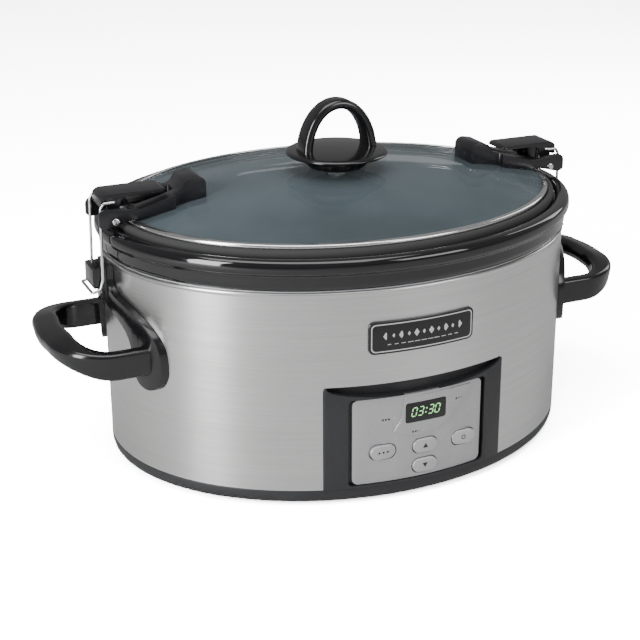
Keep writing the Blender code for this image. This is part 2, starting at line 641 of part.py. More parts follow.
def make_handle(side, name):
    """A side handle in one moulding: plate, strap, grip and the hook for the lid's bail."""
    def place(u, v, w):
        return side * w, u, v

    stations = handle_stations()
    sections = []
    for index, (x, y, share) in enumerate(stations):
        before = Vector(stations[max(index - 1, 0)][:2])
        after = Vector(stations[min(index + 1, len(stations) - 1)][:2])
        run = (after - before).normalized()
        sections.append([Vector((side * p.x, p.y, p.z)) for p in strap_section(x, y, run, share)])
    bm = bmesh.new()
    loft(bm, sections)
    handle = add_object(name, bm, "gloss_black")
    shell = skin(name + "_skin", WRAP_WALL, -CLEARANCE - PLATE_THICKNESS, 0.05, WRAP_TOP - 0.0006)
    plate = prism(name + "_plate", plate_outline(), place, 0.10, 0.20)
    combine(plate, shell, "INTERSECT")
    combine(handle, plate, "UNION")
    stem_low = 0.1200
    hook = [
        (BODY_HALF_LENGTH - 0.001, stem_low), (BODY_HALF_LENGTH + PLATE_THICKNESS, stem_low),
        (HOOK_NOSE_X - 0.006, HOOK_LOW), (HOOK_NOSE_X, HOOK_LOW), (HOOK_NOSE_X, HOOK_HIGH),
        (BODY_HALF_LENGTH - 0.001, HOOK_HIGH),
    ]
    nose = prism(name + "_hook", [(side * u, v) for u, v in hook], along_y,
                 -HOOK_HALF_WIDTH, HOOK_HALF_WIDTH)
    combine(handle, nose, "UNION")
    body = oval_piece(name + "_body", [body_oval(-CLEARANCE, 0.0), body_oval(-CLEARANCE, 0.2)],
                      "matt_black")
    combine(handle, body, "DIFFERENCE")
    for end, where in ((-1, "front"), (1, "back")):
        centre = (0, end * HANDLE_HALF_SPAN, HANDLE_Z)
        bore = rod(f"{name}_bore_{where}", SCREW_RADIUS + CLEARANCE, "X", centre,
                   *sorted((side * 0.14, side * 0.1668)), 12)
        combine(handle, bore, "DIFFERENCE")
        turn = Matrix.Rotation(math.radians(90.0 * side), 4, "Y")
        place_screw = Matrix.Translation((side * 0.1472, end * HANDLE_HALF_SPAN, HANDLE_Z)) @ turn
        screw(f"handle_screw_{name.split('_')[-1]}_{where}", place_screw, SCREW_RADIUS,
              SCREW_HEAD_RADIUS, 0.0022, 0.0186)


# --- Crock ------------------------------------------------------------------------------------
def make_crock():
    """The lift-out stoneware crock, hung by its collar on the well's rim."""
    seat = WRAP_TOP + CLEARANCE + WELL_WALL + CLEARANCE
    lip_top = seat + COLLAR_HEIGHT
    ledge = lip_top - LEDGE_DEPTH
    bottom = WELL_FLOOR + CROCK_LIFT
    wall_top, wall_foot = WELL_TOP_INSET + CROCK_GAP, WELL_FOOT_INSET + CROCK_GAP
    outside = [
        body_oval(wall_foot + 0.010, bottom), body_oval(wall_foot + 0.007, bottom + 0.0005),
        body_oval(wall_foot, bottom + 0.011), body_oval(wall_top, seat - 0.008),
        body_oval(wall_top, seat), body_oval(0.0006, seat), body_oval(-0.0010, seat + 0.0015),
        body_oval(-0.0014, seat + 0.0100), body_oval(-LIP_OVERHANG + 0.0004, seat + 0.0130),
        body_oval(-LIP_OVERHANG, lip_top - 0.0046), body_oval(-LIP_OVERHANG + 0.0009, lip_top - 0.0018),
        body_oval(-0.0006, lip_top), body_oval(0.0030, lip_top - 0.0002),
    ]
    inside = [
        body_oval(LEDGE_OUTER_INSET, ledge), body_oval(LEDGE_INNER_INSET, ledge),
        body_oval(wall_top + CROCK_WALL - 0.0010, ledge - 0.0050),
        body_oval(wall_top + CROCK_WALL, seat - 0.012),
        body_oval(wall_foot + CROCK_WALL, bottom + 0.020),
        body_oval(wall_foot + CROCK_WALL + 0.007, bottom + 0.0095),
        body_oval(wall_foot + CROCK_WALL + 0.018, bottom + 0.0080),
    ]
    oval_piece("crock", outside + inside, "glaze")
    return ledge


# --- Lid --------------------------------------------------------------------------------------
def dome_ring(share, z_edge):
    """An ellipse of the dome at a share of its span, 1 at the rim."""
    a, b, _ = body_oval(DOME_INSET, 0.0)
    return a * share, b * share, z_edge + DOME_RISE * (1.0 - share ** 2)


def make_lid(ledge):
    """Glass dome, steel rim, gasket and the knob-like handle with its screw."""
    low = ledge + CLEARANCE
    top = low + GASKET_HEIGHT
    middle = (GASKET_OUTER_INSET + GASKET_INNER_INSET) / 2
    oval_piece("lid_gasket", [
        body_oval(GASKET_OUTER_INSET + 0.0004, low), body_oval(GASKET_OUTER_INSET, low + 0.003),
        body_oval(GASKET_OUTER_INSET + 0.0008, top - 0.0009), body_oval(middle, top),
        body_oval(GASKET_INNER_INSET, top - 0.0009), body_oval(GASKET_INNER_INSET, low),
    ], "rubber", ring=True)
    glass_low = low + 0.0029
    glass_top = glass_low + GLASS_THICKNESS
    edge = GASKET_INNER_INSET + CLEARANCE
    inner = edge + RIM_WALL
    rim_top = glass_top + CLEARANCE
    oval_piece("lid_rim", [
        body_oval(edge, glass_low - 0.0002), body_oval(edge, rim_top + RIM_WALL),
        body_oval(DOME_INSET - 0.0012, rim_top + RIM_WALL), body_oval(DOME_INSET - 0.0012, rim_top),
        body_oval(inner, rim_top), body_oval(inner, glass_low - 0.0002),
    ], "steel", ring=True)
    shares = (0.03, 0.30, 0.58, 0.82, 1.0)
    glass_edge = inner + CLEARANCE
    rings = [dome_ring(share, glass_top + 0.0002) for share in shares]
    rings += [body_oval(glass_edge, glass_top), body_oval(glass_edge, glass_low)]
    rings += [dome_ring(share, glass_top - GLASS_THICKNESS + 0.0002) for share in reversed(shares)]
    glass = oval_piece("lid_glass", rings, "glass", ring=True)
    for side in (-1, 1):
        hole = rod(f"glass_hole_{side}", SCREW_RADIUS + 0.0008, "Z", (side * LATCH_SCREW_X, 0, 0),
                   0.15, 0.22, 12)
        combine(glass, hole, "DIFFERENCE")
    crown = glass_top + 0.0002 + DOME_RISE
    make_lid_handle(crown)
    return glass_top


def make_lid_handle(crown):
    """The arch on its disc, the seal under it and the screw through the glass."""
    turned("lid_handle_washer", [
        (0.0045, crown + CLEARANCE), (0.0150, crown + CLEARANCE), (0.0150, crown + 0.0012),
        (0.0045, crown + 0.0012),
    ], "rubber")
    washer = bpy.data.objects["lid_handle_washer"]
    combine(washer, rod("washer_bore", 0.0030, "Z", (0, 0, 0), 0.1, 0.3, 16), "DIFFERENCE")
    foot = crown + 0.0012 + CLEARANCE
    disc = foot + STEM_HEIGHT
    handle = turned("lid_handle", [
        (STEM_FOOT_RADIUS, foot), (STEM_RADIUS, disc - 0.0012), (DISC_RADIUS - 0.0010, disc),
        (DISC_RADIUS, disc + 0.0012), (DISC_RADIUS - 0.0020, disc + 0.0028),
        (DISC_RADIUS * 0.55, disc + 0.0045), (DISC_RADIUS * 0.2, disc + 0.0050),
    ], "gloss_black", segments=32)
    chamfer, band, half = 0.0018, ARCH_BAND / 2, ARCH_WIDTH / 2
    section = [
        (half, band - chamfer), (half - chamfer, band), (chamfer - half, band), (-half, band - chamfer),
        (-half, chamfer - band), (chamfer - half, -band), (half - chamfer, -band), (half, chamfer - band),
    ]
    steps = 14
    springing = disc + 0.0025
    sections = []
    for step in range(steps + 1):
        angle = math.pi * step / steps
        point = Vector((ARCH_HALF_WIDTH * math.cos(angle), 0, springing + ARCH_HEIGHT * math.sin(angle)))
        outward = Vector((ARCH_HEIGHT * math.cos(angle), 0, ARCH_HALF_WIDTH * math.sin(angle))).normalized()
        sections.append([point + outward * v + Vector((0, u, 0)) for u, v in section])
    bm = bmesh.new()
    loft(bm, sections)
    combine(handle, add_object("arch", bm, "gloss_black"), "UNION")
    combine(handle, rod("handle_bore", 0.0022, "Z", (0, 0, 0), foot - 0.01, foot + 0.0090, 16),
            "DIFFERENCE")
    under = crown - GLASS_THICKNESS - CLEARANCE
    screw("lid_handle_screw", Matrix.Translation((0, 0, under - 0.0024)), 0.0018, 0.0060, 0.0024,
          foot + 0.0080 - under + 0.0024)


# --- Latches ----------------------------------------------------------------------------------
def make_bracket(side, name, glass_top):
    """The clip's fixed arm over the glass: fork and cheeks outside, clamp block inside."""
    rim_clear = glass_top + 0.0018
    inner_end = LATCH_INNER_X + LATCH_BLOCK_LENGTH
    block_foot = dome_ring(LATCH_INNER_X / (BODY_HALF_LENGTH - DOME_INSET), glass_top)[2] + 0.0012
    outline = [
        (LATCH_INNER_X, block_foot), (0.1535, rim_clear), (0.1575, rim_clear - 0.0012),
        (0.1690, rim_clear - 0.0042), (LATCH_OUTER_X, rim_clear - 0.0030),
        (LATCH_OUTER_X, rim_clear + 0.0062), (LATCH_OUTER_X - 0.0030, rim_clear + 0.0086),
        (0.1600, rim_clear + 0.0084), (0.1500, rim_clear + 0.0050), (inner_end + 0.004, rim_clear + 0.0090),
        (inner_end, rim_clear + 0.0135), (inner_end - 0.0030, rim_clear + 0.0205),
        (LATCH_INNER_X + 0.0030, rim_clear + 0.0225), (LATCH_INNER_X, rim_clear + 0.0190),
    ]
    bracket = prism("latch_bracket_" + name, [(side * u, v) for u, v in outline], along_y,
                    -LATCH_HALF_WIDTH, LATCH_HALF_WIDTH, "gloss_black")
    fork = [(0.1480, 0.15), (0.20, 0.15), (0.20, 0.22), (0.1480, 0.22)]
    combine(bracket, prism("fork_" + name, [(side * u, v) for u, v in fork], along_y,
                           -LATCH_FORK_HALF_GAP, LATCH_FORK_HALF_GAP), "DIFFERENCE")
    for end in (-1, 1):
        trim = block(f"trim_{name}_{end}", *sorted_corners(
            (side * (inner_end + 0.0060), end * 0.0125, 0.15), (side * 0.09, end * 0.03, 0.22)))
        combine(bracket, trim, "DIFFERENCE")
    centre = (side * LATCH_SCREW_X, 0, 0)
    combine(bracket, rod("bracket_bore_" + name, SCREW_RADIUS + CLEARANCE, "Z", centre,
                         0.15, rim_clear + 0.016, 12), "DIFFERENCE")
    pin_hole = rod("pin_hole_" + name, HINGE_PIN_RADIUS + CLEARANCE, "Y",
                   (side * HINGE_X, 0, HINGE_Z), -0.03, 0.03, 12)
    combine(bracket, pin_hole, "DIFFERENCE")
    under = dome_ring(LATCH_SCREW_X / (BODY_HALF_LENGTH - DOME_INSET), glass_top)[2]
    under -= GLASS_THICKNESS + 0.0012
    screw("bracket_screw_" + name, Matrix.Translation((side * LATCH_SCREW_X, 0, under - 0.0020)),
          SCREW_RADIUS, SCREW_HEAD_RADIUS, 0.0020, rim_clear + 0.0145 - under + 0.0020)


def sorted_corners(first, second):
    """The lowest and highest corners of the box between two points."""
    low = tuple(min(a, b) for a, b in zip(first, second))
    high = tuple(max(a, b) for a, b in zip(first, second))
    return low, high


def make_pin(side, name):
    """The hinge pin through both cheeks and the lever's ears, headed at both ends."""
    head_in, head_out = LATCH_HALF_WIDTH + CLEARANCE, LATCH_HALF_WIDTH + 0.0012
    turned("hinge_pin_" + name, [
        (0.0024, -head_out), (0.0024, -head_in), (HINGE_PIN_RADIUS, -head_in),
        (HINGE_PIN_RADIUS, head_in), (0.0024, head_in), (0.0024, head_out),
    ], "bright_wire", Matrix.Translation((side * HINGE_X, 0, HINGE_Z))
        @ Matrix.Rotation(math.radians(-90.0), 4, "X"), 12)


def make_lever(side, name):
    """The folding lever: plate, turned-down outer end and two ears on the hinge pin."""
    pivot_x, pivot_z = bail_pivot()
    plate_low = pivot_z + 0.0022
    plate_high = plate_low + LEVER_THICKNESS
    outline = [
        (LEVER_INNER_X, plate_low), (LEVER_OUTER_X - 0.0030, plate_low),
        (LEVER_OUTER_X - 0.0024, plate_low - 0.0065), (LEVER_OUTER_X, plate_low - 0.0065),
        (LEVER_OUTER_X, plate_low), (LEVER_OUTER_X - 0.0030, plate_high),
        (LEVER_INNER_X + 0.002, plate_high),
    ]
    hinge = (side * HINGE_X, 0.0, HINGE_Z)
    lever = prism("latch_lever_" + name, [(side * u, v) for u, v in outline], along_y,
                  -LEVER_HALF_WIDTH, LEVER_HALF_WIDTH, "gloss_black", hinge)
    ear = [(HINGE_X + 0.0030 * math.cos(math.radians(a)), HINGE_Z + 0.0030 * math.sin(math.radians(a)))
           for a in range(-180, 1, 30)]
    ear += [(HINGE_X + 0.0040, pivot_z), (HINGE_X + 0.0040, plate_low + 0.001),
            (HINGE_X - 0.0120, plate_low + 0.001), (HINGE_X - 0.0060, pivot_z)]
    for end in (-1, 1):
        low, high = sorted((end * LEVER_HALF_WIDTH, end * (LEVER_HALF_WIDTH - LEVER_EAR)))
        wall = prism(f"ear_{name}_{end}", [(side * u, v) for u, v in ear], along_y, low, high)
        combine(lever, wall, "UNION")
    for hole, radius, (x, z) in (
        ("lever_hinge_", HINGE_PIN_RADIUS + CLEARANCE, (HINGE_X, HINGE_Z)),
        ("lever_pivot_", BAIL_WIRE_RADIUS + CLEARANCE, (pivot_x, pivot_z)),
    ):
        combine(lever, rod(hole + name, radius, "Y", (side * x, 0, z), -0.03, 0.03, 12), "DIFFERENCE")


def bail_pivot():
    """Where the bail's ends turn in the lever, just inboard of the hinge pin when closed."""
    return HINGE_X - BAIL_PIVOT_INBOARD, HINGE_Z + BAIL_PIVOT_RISE


def make_bail(side, name):
    """The wire bail, from one ear down, under the hook's nose line and up to the other ear."""
    pivot_x, pivot_z = bail_pivot()
    bar_x = HOOK_NOSE_X + BAIL_WIRE_RADIUS + 0.0006
    bar_z = HOOK_LOW - 0.0015
    ear = LEVER_HALF_WIDTH - 0.0016
    leg = [
        (pivot_x, ear, pivot_z), (pivot_x, BAIL_HALF_WIDTH, pivot_z),
        (0.1688, BAIL_HALF_WIDTH, pivot_z), (0.1710, BAIL_HALF_WIDTH, pivot_z - 0.0025),
        (0.1724, BAIL_HALF_WIDTH, HOOK_LOW + 0.0065), (0.1740, BAIL_HALF_WIDTH, bar_z + 0.0020),
        (bar_x, BAIL_HALF_WIDTH, bar_z),
    ]
    points = leg + [(x, -y, z) for x, y, z in reversed(leg)]
    origin = Vector((side * pivot_x, 0.0, pivot_z))
    curve = bpy.data.curves.new("latch_bail_" + name, "CURVE")
    curve.dimensions = "3D"
    curve.bevel_depth = BAIL_WIRE_RADIUS
    curve.bevel_resolution = 2
    curve.use_fill_caps = True
    spline = curve.splines.new("POLY")
    spline.points.add(len(points) - 1)
    for point, (x, y, z) in zip(spline.points, points):
        point.co = (*(Vector((side * x, y, z)) - origin), 1.0)
    curve.materials.append(finish("bright_wire"))
    bail = bpy.data.objects.new("latch_bail_" + name, curve)
    bail.location = origin
    bpy.context.scene.collection.objects.link(bail)


def main():
    for piece in list(bpy.data.objects):
        bpy.data.objects.remove(piece)
    make_tray()
    make_feet()
    make_wrap()
    make_well()
    make_heater()
    make_power_board()
    make_gland()
    make_bezel()
    make_fascia()
    make_controls()
    make_badge()
    for side, name in ((-1, "left"), (1, "right")):
        make_handle(side, "side_handle_" + name)
    glass_top = make_lid(make_crock())
    for side, name in ((-1, "left"), (1, "right")):
        make_bracket(side, name, glass_top)
        make_pin(side, name)
        make_lever(side, name)
        make_bail(side, name)


main()
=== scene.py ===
"""Looks of the oval slow cooker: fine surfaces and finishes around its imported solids.

Metres, +Z up, front towards -Y.  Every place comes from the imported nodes' boxes.
"""

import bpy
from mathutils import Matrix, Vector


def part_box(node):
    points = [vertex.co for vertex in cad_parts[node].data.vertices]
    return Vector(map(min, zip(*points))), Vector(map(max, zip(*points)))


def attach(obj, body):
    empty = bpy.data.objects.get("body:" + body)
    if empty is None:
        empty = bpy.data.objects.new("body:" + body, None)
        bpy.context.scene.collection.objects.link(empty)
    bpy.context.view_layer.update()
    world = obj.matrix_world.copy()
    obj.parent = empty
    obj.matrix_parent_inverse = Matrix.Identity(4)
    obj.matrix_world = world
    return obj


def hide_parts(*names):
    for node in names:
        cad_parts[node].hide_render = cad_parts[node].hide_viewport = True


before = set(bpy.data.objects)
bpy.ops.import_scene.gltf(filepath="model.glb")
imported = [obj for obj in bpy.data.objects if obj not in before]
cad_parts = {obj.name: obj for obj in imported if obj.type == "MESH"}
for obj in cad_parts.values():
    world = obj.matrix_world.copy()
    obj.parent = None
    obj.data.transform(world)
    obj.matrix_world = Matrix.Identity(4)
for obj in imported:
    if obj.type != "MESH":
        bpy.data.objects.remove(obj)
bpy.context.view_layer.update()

import logging
import math
from dataclasses import dataclass, field
from enum import Enum
from typing import Any, Callable, Iterable, Sequence

import bmesh
import bpy
from mathutils import Matrix, Vector

ROUND_STEPS = 192
SMALL_STEPS = 32
TURN = 2.0 * math.pi
GAP = 0.0003

Corner = tuple[float, float, float]
Colour = tuple[float, float, float]
Edge = tuple[float, float]
log = logging.getLogger("cooker")


# --- Shader maths ---------------------------------------------------------------------------
class Value:
    """One output socket of a material, which Python's operators turn into Math nodes."""

    def __init__(self, graph: "Graph", socket: bpy.types.NodeSocket) -> None:
        """Keeps the socket with the graph that it belongs to."""
        self.graph = graph
        self.socket = socket

    def _math(self, operation: str, first: Any, second: Any) -> "Value":
        """Adds a Math node and returns its result."""
        return self.graph.node("ShaderNodeMath", {"operation": operation}, {0: first, 1: second})

    def __add__(self, other: Any) -> "Value":
        """self + other"""
        return self._math("ADD", self, other)

    __radd__ = __add__

    def __mul__(self, other: Any) -> "Value":
        """self * other"""
        return self._math("MULTIPLY", self, other)

    __rmul__ = __mul__

    def __sub__(self, other: Any) -> "Value":
        """self - other"""
        return self._math("SUBTRACT", self, other)

    def __rsub__(self, other: Any) -> "Value":
        """other - self"""
        return self._math("SUBTRACT", other, self)

    def __pow__(self, other: Any) -> "Value":
        """self ** other"""
        return self._math("POWER", self, other)

    def clamped(self) -> "Value":
        """The value kept between 0 and 1."""
        return self.graph.node("ShaderNodeClamp", {}, {"Value": self})


class Graph:
    """A material's node tree with its Principled shader."""

    def __init__(self, name: str) -> None:
        """Makes the material.

        Args:
            name: The material's name.
        """
        self.material = bpy.data.materials.new(name)
        self.material.use_nodes = True
        self.tree = self.material.node_tree
        self.shader = self.tree.nodes["Principled BSDF"]

    def node(self, kind: str, settings: dict[str, Any], inputs: dict[Any, Any], output: Any = 0) -> Value:
        """Adds any node.

        Args:
            kind: The node's type name.
            settings: Properties, which are set first; "stops" gives a ramp's positions and greys.
            inputs: Values or links, by socket name or index.
            output: The output socket to return, by name or index.

        Returns:
            The chosen output.
        """
        made = self.tree.nodes.new(kind)
        for key, setting in settings.items():
            if key == "stops":
                ramp = made.color_ramp.elements
                while len(ramp) < len(setting):
                    ramp.new(0.5)
                for stop, (place, grey) in zip(ramp, setting):
                    stop.position = place
                    stop.color = (grey, grey, grey, 1.0)
            else:
                setattr(made, key, setting)
        for key, source in inputs.items():
            self.feed(made.inputs[key], source)
        return Value(self, made.outputs[output])

    def feed(self, socket: bpy.types.NodeSocket, source: Any) -> None:
        """Links a value to a socket, or sets the socket's own value."""
        if isinstance(source, Value):
            self.tree.links.new(source.socket, socket)
        elif isinstance(source, tuple) and len(source) == 3 and socket.type == "RGBA":
            socket.default_value = (*source, 1.0)
        else:
            socket.default_value = source

    def place(self, stretch: Colour = (1.0, 1.0, 1.0)) -> Value:
        """Object coordinates, stretched along each axis."""
        spot = self.node("ShaderNodeTexCoord", {}, {}, "Object")
        return self.node("ShaderNodeMapping", {}, {"Vector": spot, "Scale": stretch})

    def noise(self, scale: float, detail: float = 3.0, stretch: Colour = (1.0, 1.0, 1.0)) -> Value:
        """Noise from 0 to 1, about 0.5, at that many waves a metre."""
        return self.node("ShaderNodeTexNoise", {}, {
            "Vector": self.place(stretch), "Scale": scale, "Detail": detail, "Roughness": 0.55,
        }, "Fac")

    def blend(self, share: Any, first: Any, second: Any) -> Value:
        """A colour between two colours."""
        return self.node("ShaderNodeMix", {"data_type": "RGBA"}, {0: share, 6: first, 7: second}, 2)

    def bump(self, height: Value, depth: float, strength: float = 1.0) -> None:
        """Raises the surface by a height map whose range is depth metres."""
        normal = self.node("ShaderNodeBump", {}, {
            "Height": height, "Distance": depth, "Strength": strength,
        }, "Normal")
        self.feed(self.shader.inputs["Normal"], normal)

    def set(self, **inputs: Any) -> None:
        """Sets or links the shader's sockets, named with underscores for spaces."""
        for name, source in inputs.items():
            self.feed(self.shader.inputs[name.replace("_", " ")], source)


# --- Finishes ---------------------------------------------------------------------------------
@dataclass(frozen=True)
class Finish:
    """A moulded or painted finish with a fine grain, drifting gloss and a little dust."""

    name: str
    slot: str
    colour: Colour
    roughness: float
    metallic: float = 0.0
    coat: float = 0.0
    grain: float = 1400.0
    grain_depth: float = 0.00002
    drift: float = 0.10

    def material(self) -> bpy.types.Material:
        """The finish's material, made once."""
        ready = bpy.data.materials.get(self.name)
        if ready:
            return ready
        graph = Graph(self.name)
        graph.set(Metallic=self.metallic, Coat_Weight=self.coat, Coat_Roughness=0.04)
        self.dress(graph)
        graph.material.diffuse_color = (*self.colour, 1.0)
        return graph.material

    def shades(self, share: float) -> tuple[Colour, Colour]:
        """The colour a share darker and a share lighter."""
        return (
            tuple(channel * (1.0 - share) for channel in self.colour),
            tuple(min(1.0, channel * (1.0 + share)) for channel in self.colour),
        )

    def dress(self, graph: Graph) -> None:
        """Adds the finish's own nodes to a new graph."""
        patches = graph.noise(28.0, 4.0)
        fine = graph.noise(self.grain, 2.0)
        dark, light = self.shades(self.drift)
        graph.set(Base_Color=graph.blend(patches, dark, light),
                  Roughness=(self.roughness * 0.85 + self.roughness * 0.30 * patches).clamped())
        graph.bump(fine, self.grain_depth)


@dataclass(frozen=True)
class BrushedSteel(Finish):
    """Sheet steel brushed along its length, so that highlights stretch up and down."""

    anisotropic: float = 0.75
    quarter_turn: float = 0.25
    line_pitch: float = 0.00035

    def dress(self, graph: Graph) -> None:
        """Long fine lines run level round the sheet."""
        along = 5.0
        fine = graph.noise(1.0, 2.0, (along * 3, along * 3, 1.0 / self.line_pitch))
        coarse = graph.noise(1.0, 3.0, (along, along, 0.22 / self.line_pitch))
        lines = 0.6 * fine + 0.4 * coarse
        dark, light = self.shades(self.drift)
        graph.set(
            Anisotropic=self.anisotropic,
            Anisotropic_Rotation=self.quarter_turn,
            Base_Color=graph.blend(((lines - 0.32) * 2.6).clamped(), dark, light),
            Roughness=(self.roughness + 0.16 * (lines - 0.5)).clamped(),
        )
        graph.bump(lines, self.grain_depth)


@dataclass(frozen=True)
class Glaze(Finish):
    """Fired glaze: deep gloss over a slow, slightly uneven surface."""

    def dress(self, graph: Graph) -> None:
        """Slow waves bend the reflections; pinholes break the gloss."""
        waves = graph.noise(42.0, 2.0)
        specks = graph.node("ShaderNodeTexVoronoi", {}, {
            "Vector": graph.place(), "Scale": 260.0,
        }, "Distance")
        dark, light = self.shades(self.drift)
        graph.set(Base_Color=graph.blend(waves, dark, light),
                  Roughness=(self.roughness + 0.05 * waves - 0.03 * specks).clamped())
        graph.bump(waves, self.grain_depth)


@dataclass(frozen=True)
class LidGlass(Finish):
    """Clear lid glass that gets greyer at a slant, with a breath of haze."""

    clear: float = 0.07
    slant: float = 0.30

    def dress(self, graph: Graph) -> None:
        """Alpha grows towards the edge of sight and in drifting haze."""
        haze = graph.noise(16.0, 4.0)
        facing = graph.node("ShaderNodeLayerWeight", {}, {"Blend": 0.5}, "Facing")
        solid = self.clear + self.slant * facing ** 2.2 + 0.12 * (haze - 0.45)
        graph.set(Base_Color=graph.blend(haze, *self.shades(0.08)),
                  Roughness=(self.roughness + 0.04 * haze).clamped(), Alpha=solid.clamped())
        graph.bump(haze, self.grain_depth)


@dataclass(frozen=True)
class Lamp(Finish):
    """A lit segment or lens."""

    strength: float = 3.0

    def dress(self, graph: Graph) -> None:
        """The light is a little uneven behind the window."""
        patches = graph.noise(900.0, 1.0)
        dark, light = self.shades(0.12)
        glow = graph.blend(patches, dark, light)
        graph.set(Base_Color=glow, Roughness=self.roughness, Emission_Color=glow,
                  Emission_Strength=self.strength)


STEEL = BrushedSteel("wrap_brushed_steel", "wrap_steel", (0.60, 0.60, 0.595), 0.30, 1.0,
                     grain_depth=0.000012, drift=0.09)
RIM = BrushedSteel("lid_rim_steel", "rim_steel", (0.74, 0.74, 0.74), 0.16, 1.0,
                   grain_depth=0.000004, drift=0.05, anisotropic=0.3)
GLAZE = Glaze("crock_black_glaze", "glaze", (0.0035, 0.0035, 0.0042), 0.07, coat=0.25,
              grain_depth=0.00006, drift=0.3)
GLASS = LidGlass("lid_clear_glass", "glass", (0.22, 0.28, 0.31), 0.04, coat=0.4, grain_depth=0.00002)
HANDLE = Finish("handle_gloss_black", "handle_black", (0.0040, 0.0040, 0.0046), 0.18, coat=0.15,
                grain=900.0, grain_depth=0.000012, drift=0.25)
LATCH = Finish("latch_satin_black", "latch_black", (0.0065, 0.0065, 0.0080), 0.30, coat=0.05,
               grain=1600.0, grain_depth=0.00002, drift=0.25)
RING = Finish("ring_dark_grey", "ring_grey", (0.014, 0.0145, 0.016), 0.42, grain=2400.0,
              grain_depth=0.00003, drift=0.15)
SILVER = Finish("fascia_silver_paint", "fascia_silver", (0.42, 0.42, 0.43), 0.28, 0.75,
                grain=5000.0, grain_depth=0.000010, drift=0.05)
KEY = Finish("key_silver_paint", "button_silver", (0.43, 0.43, 0.44), 0.32, 0.5,
             grain=5000.0, grain_depth=0.000010, drift=0.05)
RUBBER = Finish("rubber_black", "rubber_black", (0.012, 0.012, 0.012), 0.55, grain=2600.0,
                grain_depth=0.00004, drift=0.2)
BRIGHT = Finish("wire_bright_metal", "bright_metal", (0.66, 0.66, 0.66), 0.20, 1.0, grain=1800.0,
                grain_depth=0.000006, drift=0.06)
WELL = Finish("well_aluminium", "well_aluminium", (0.42, 0.43, 0.44), 0.42, 0.8, grain=700.0)
MICA = Finish("heater_mica", "heater_mica", (0.45, 0.39, 0.28), 0.6, grain=500.0, drift=0.3)
BOARD = Finish("board_green", "board_green", (0.02, 0.10, 0.05), 0.5, grain=900.0)
WINDOW = Finish("display_window_black", "display_black", (0.002, 0.003, 0.002), 0.10, coat=0.1,
                grain_depth=0.000002)
LENS = Finish("indicator_lens", "indicator_lens", (0.46, 0.42, 0.33), 0.25, coat=0.4)
BADGE = Finish("nameplate_black", "badge_black", (0.004, 0.004, 0.0045), 0.28, coat=0.05,
               grain_depth=0.00001)
TRIM = Finish("nameplate_silver", "badge_black", (0.72, 0.72, 0.72), 0.25, 0.9, grain=3000.0,
              grain_depth=0.000005)
MARK = Finish("panel_dark_print", "display_black", (0.012, 0.012, 0.012), 0.45, grain=3000.0)
DIGIT = Lamp("display_green_segment", "display_black", (0.34, 0.80, 0.30), 0.4, strength=0.9)


# --- Shaping tools ----------------------------------------------------------------------------
class Run(Enum):
    """The axis that a flat outline is pushed along, and how its (u, v) lie in space."""

    X = "x"
    Y = "y"
    Z = "z"

    def at(self, u: float, v: float, w: float) -> Vector:
        """The point (u, v) of an outline, w along the axis."""
        return Vector({"x": (w, u, v), "y": (u, w, v), "z": (u, v, w)}[self.value])


@dataclass(frozen=True)
class Oval:
    """The body's outline in plan, which every rim and shell follows at an inset."""

    half_length: float
    half_depth: float
    core: float = 0.030

    def x_at(self, y: float, inset: float = 0.0) -> float:
        """How far out along X the outline lies at a given Y."""
        return (self.half_length - inset) * math.sqrt(1.0 - (y / (self.half_depth - inset)) ** 2)

    def y_at(self, x: float, inset: float = 0.0) -> float:
        """How far out along Y the outline lies at a given X."""
        return (self.half_depth - inset) * math.sqrt(1.0 - (x / (self.half_length - inset)) ** 2)

    def squash(self, bm: bmesh.types.BMesh) -> None:
        """Turns circles about Z into ovals at the same inset; inside the core they shrink evenly."""
        limit = self.half_length - self.core
        for vertex in bm.verts:
            radius = max(math.hypot(vertex.co.x, vertex.co.y), 1e-9)
            ring = max(radius, limit)
            vertex.co.y *= (ring - self.half_length + self.half_depth) / ring


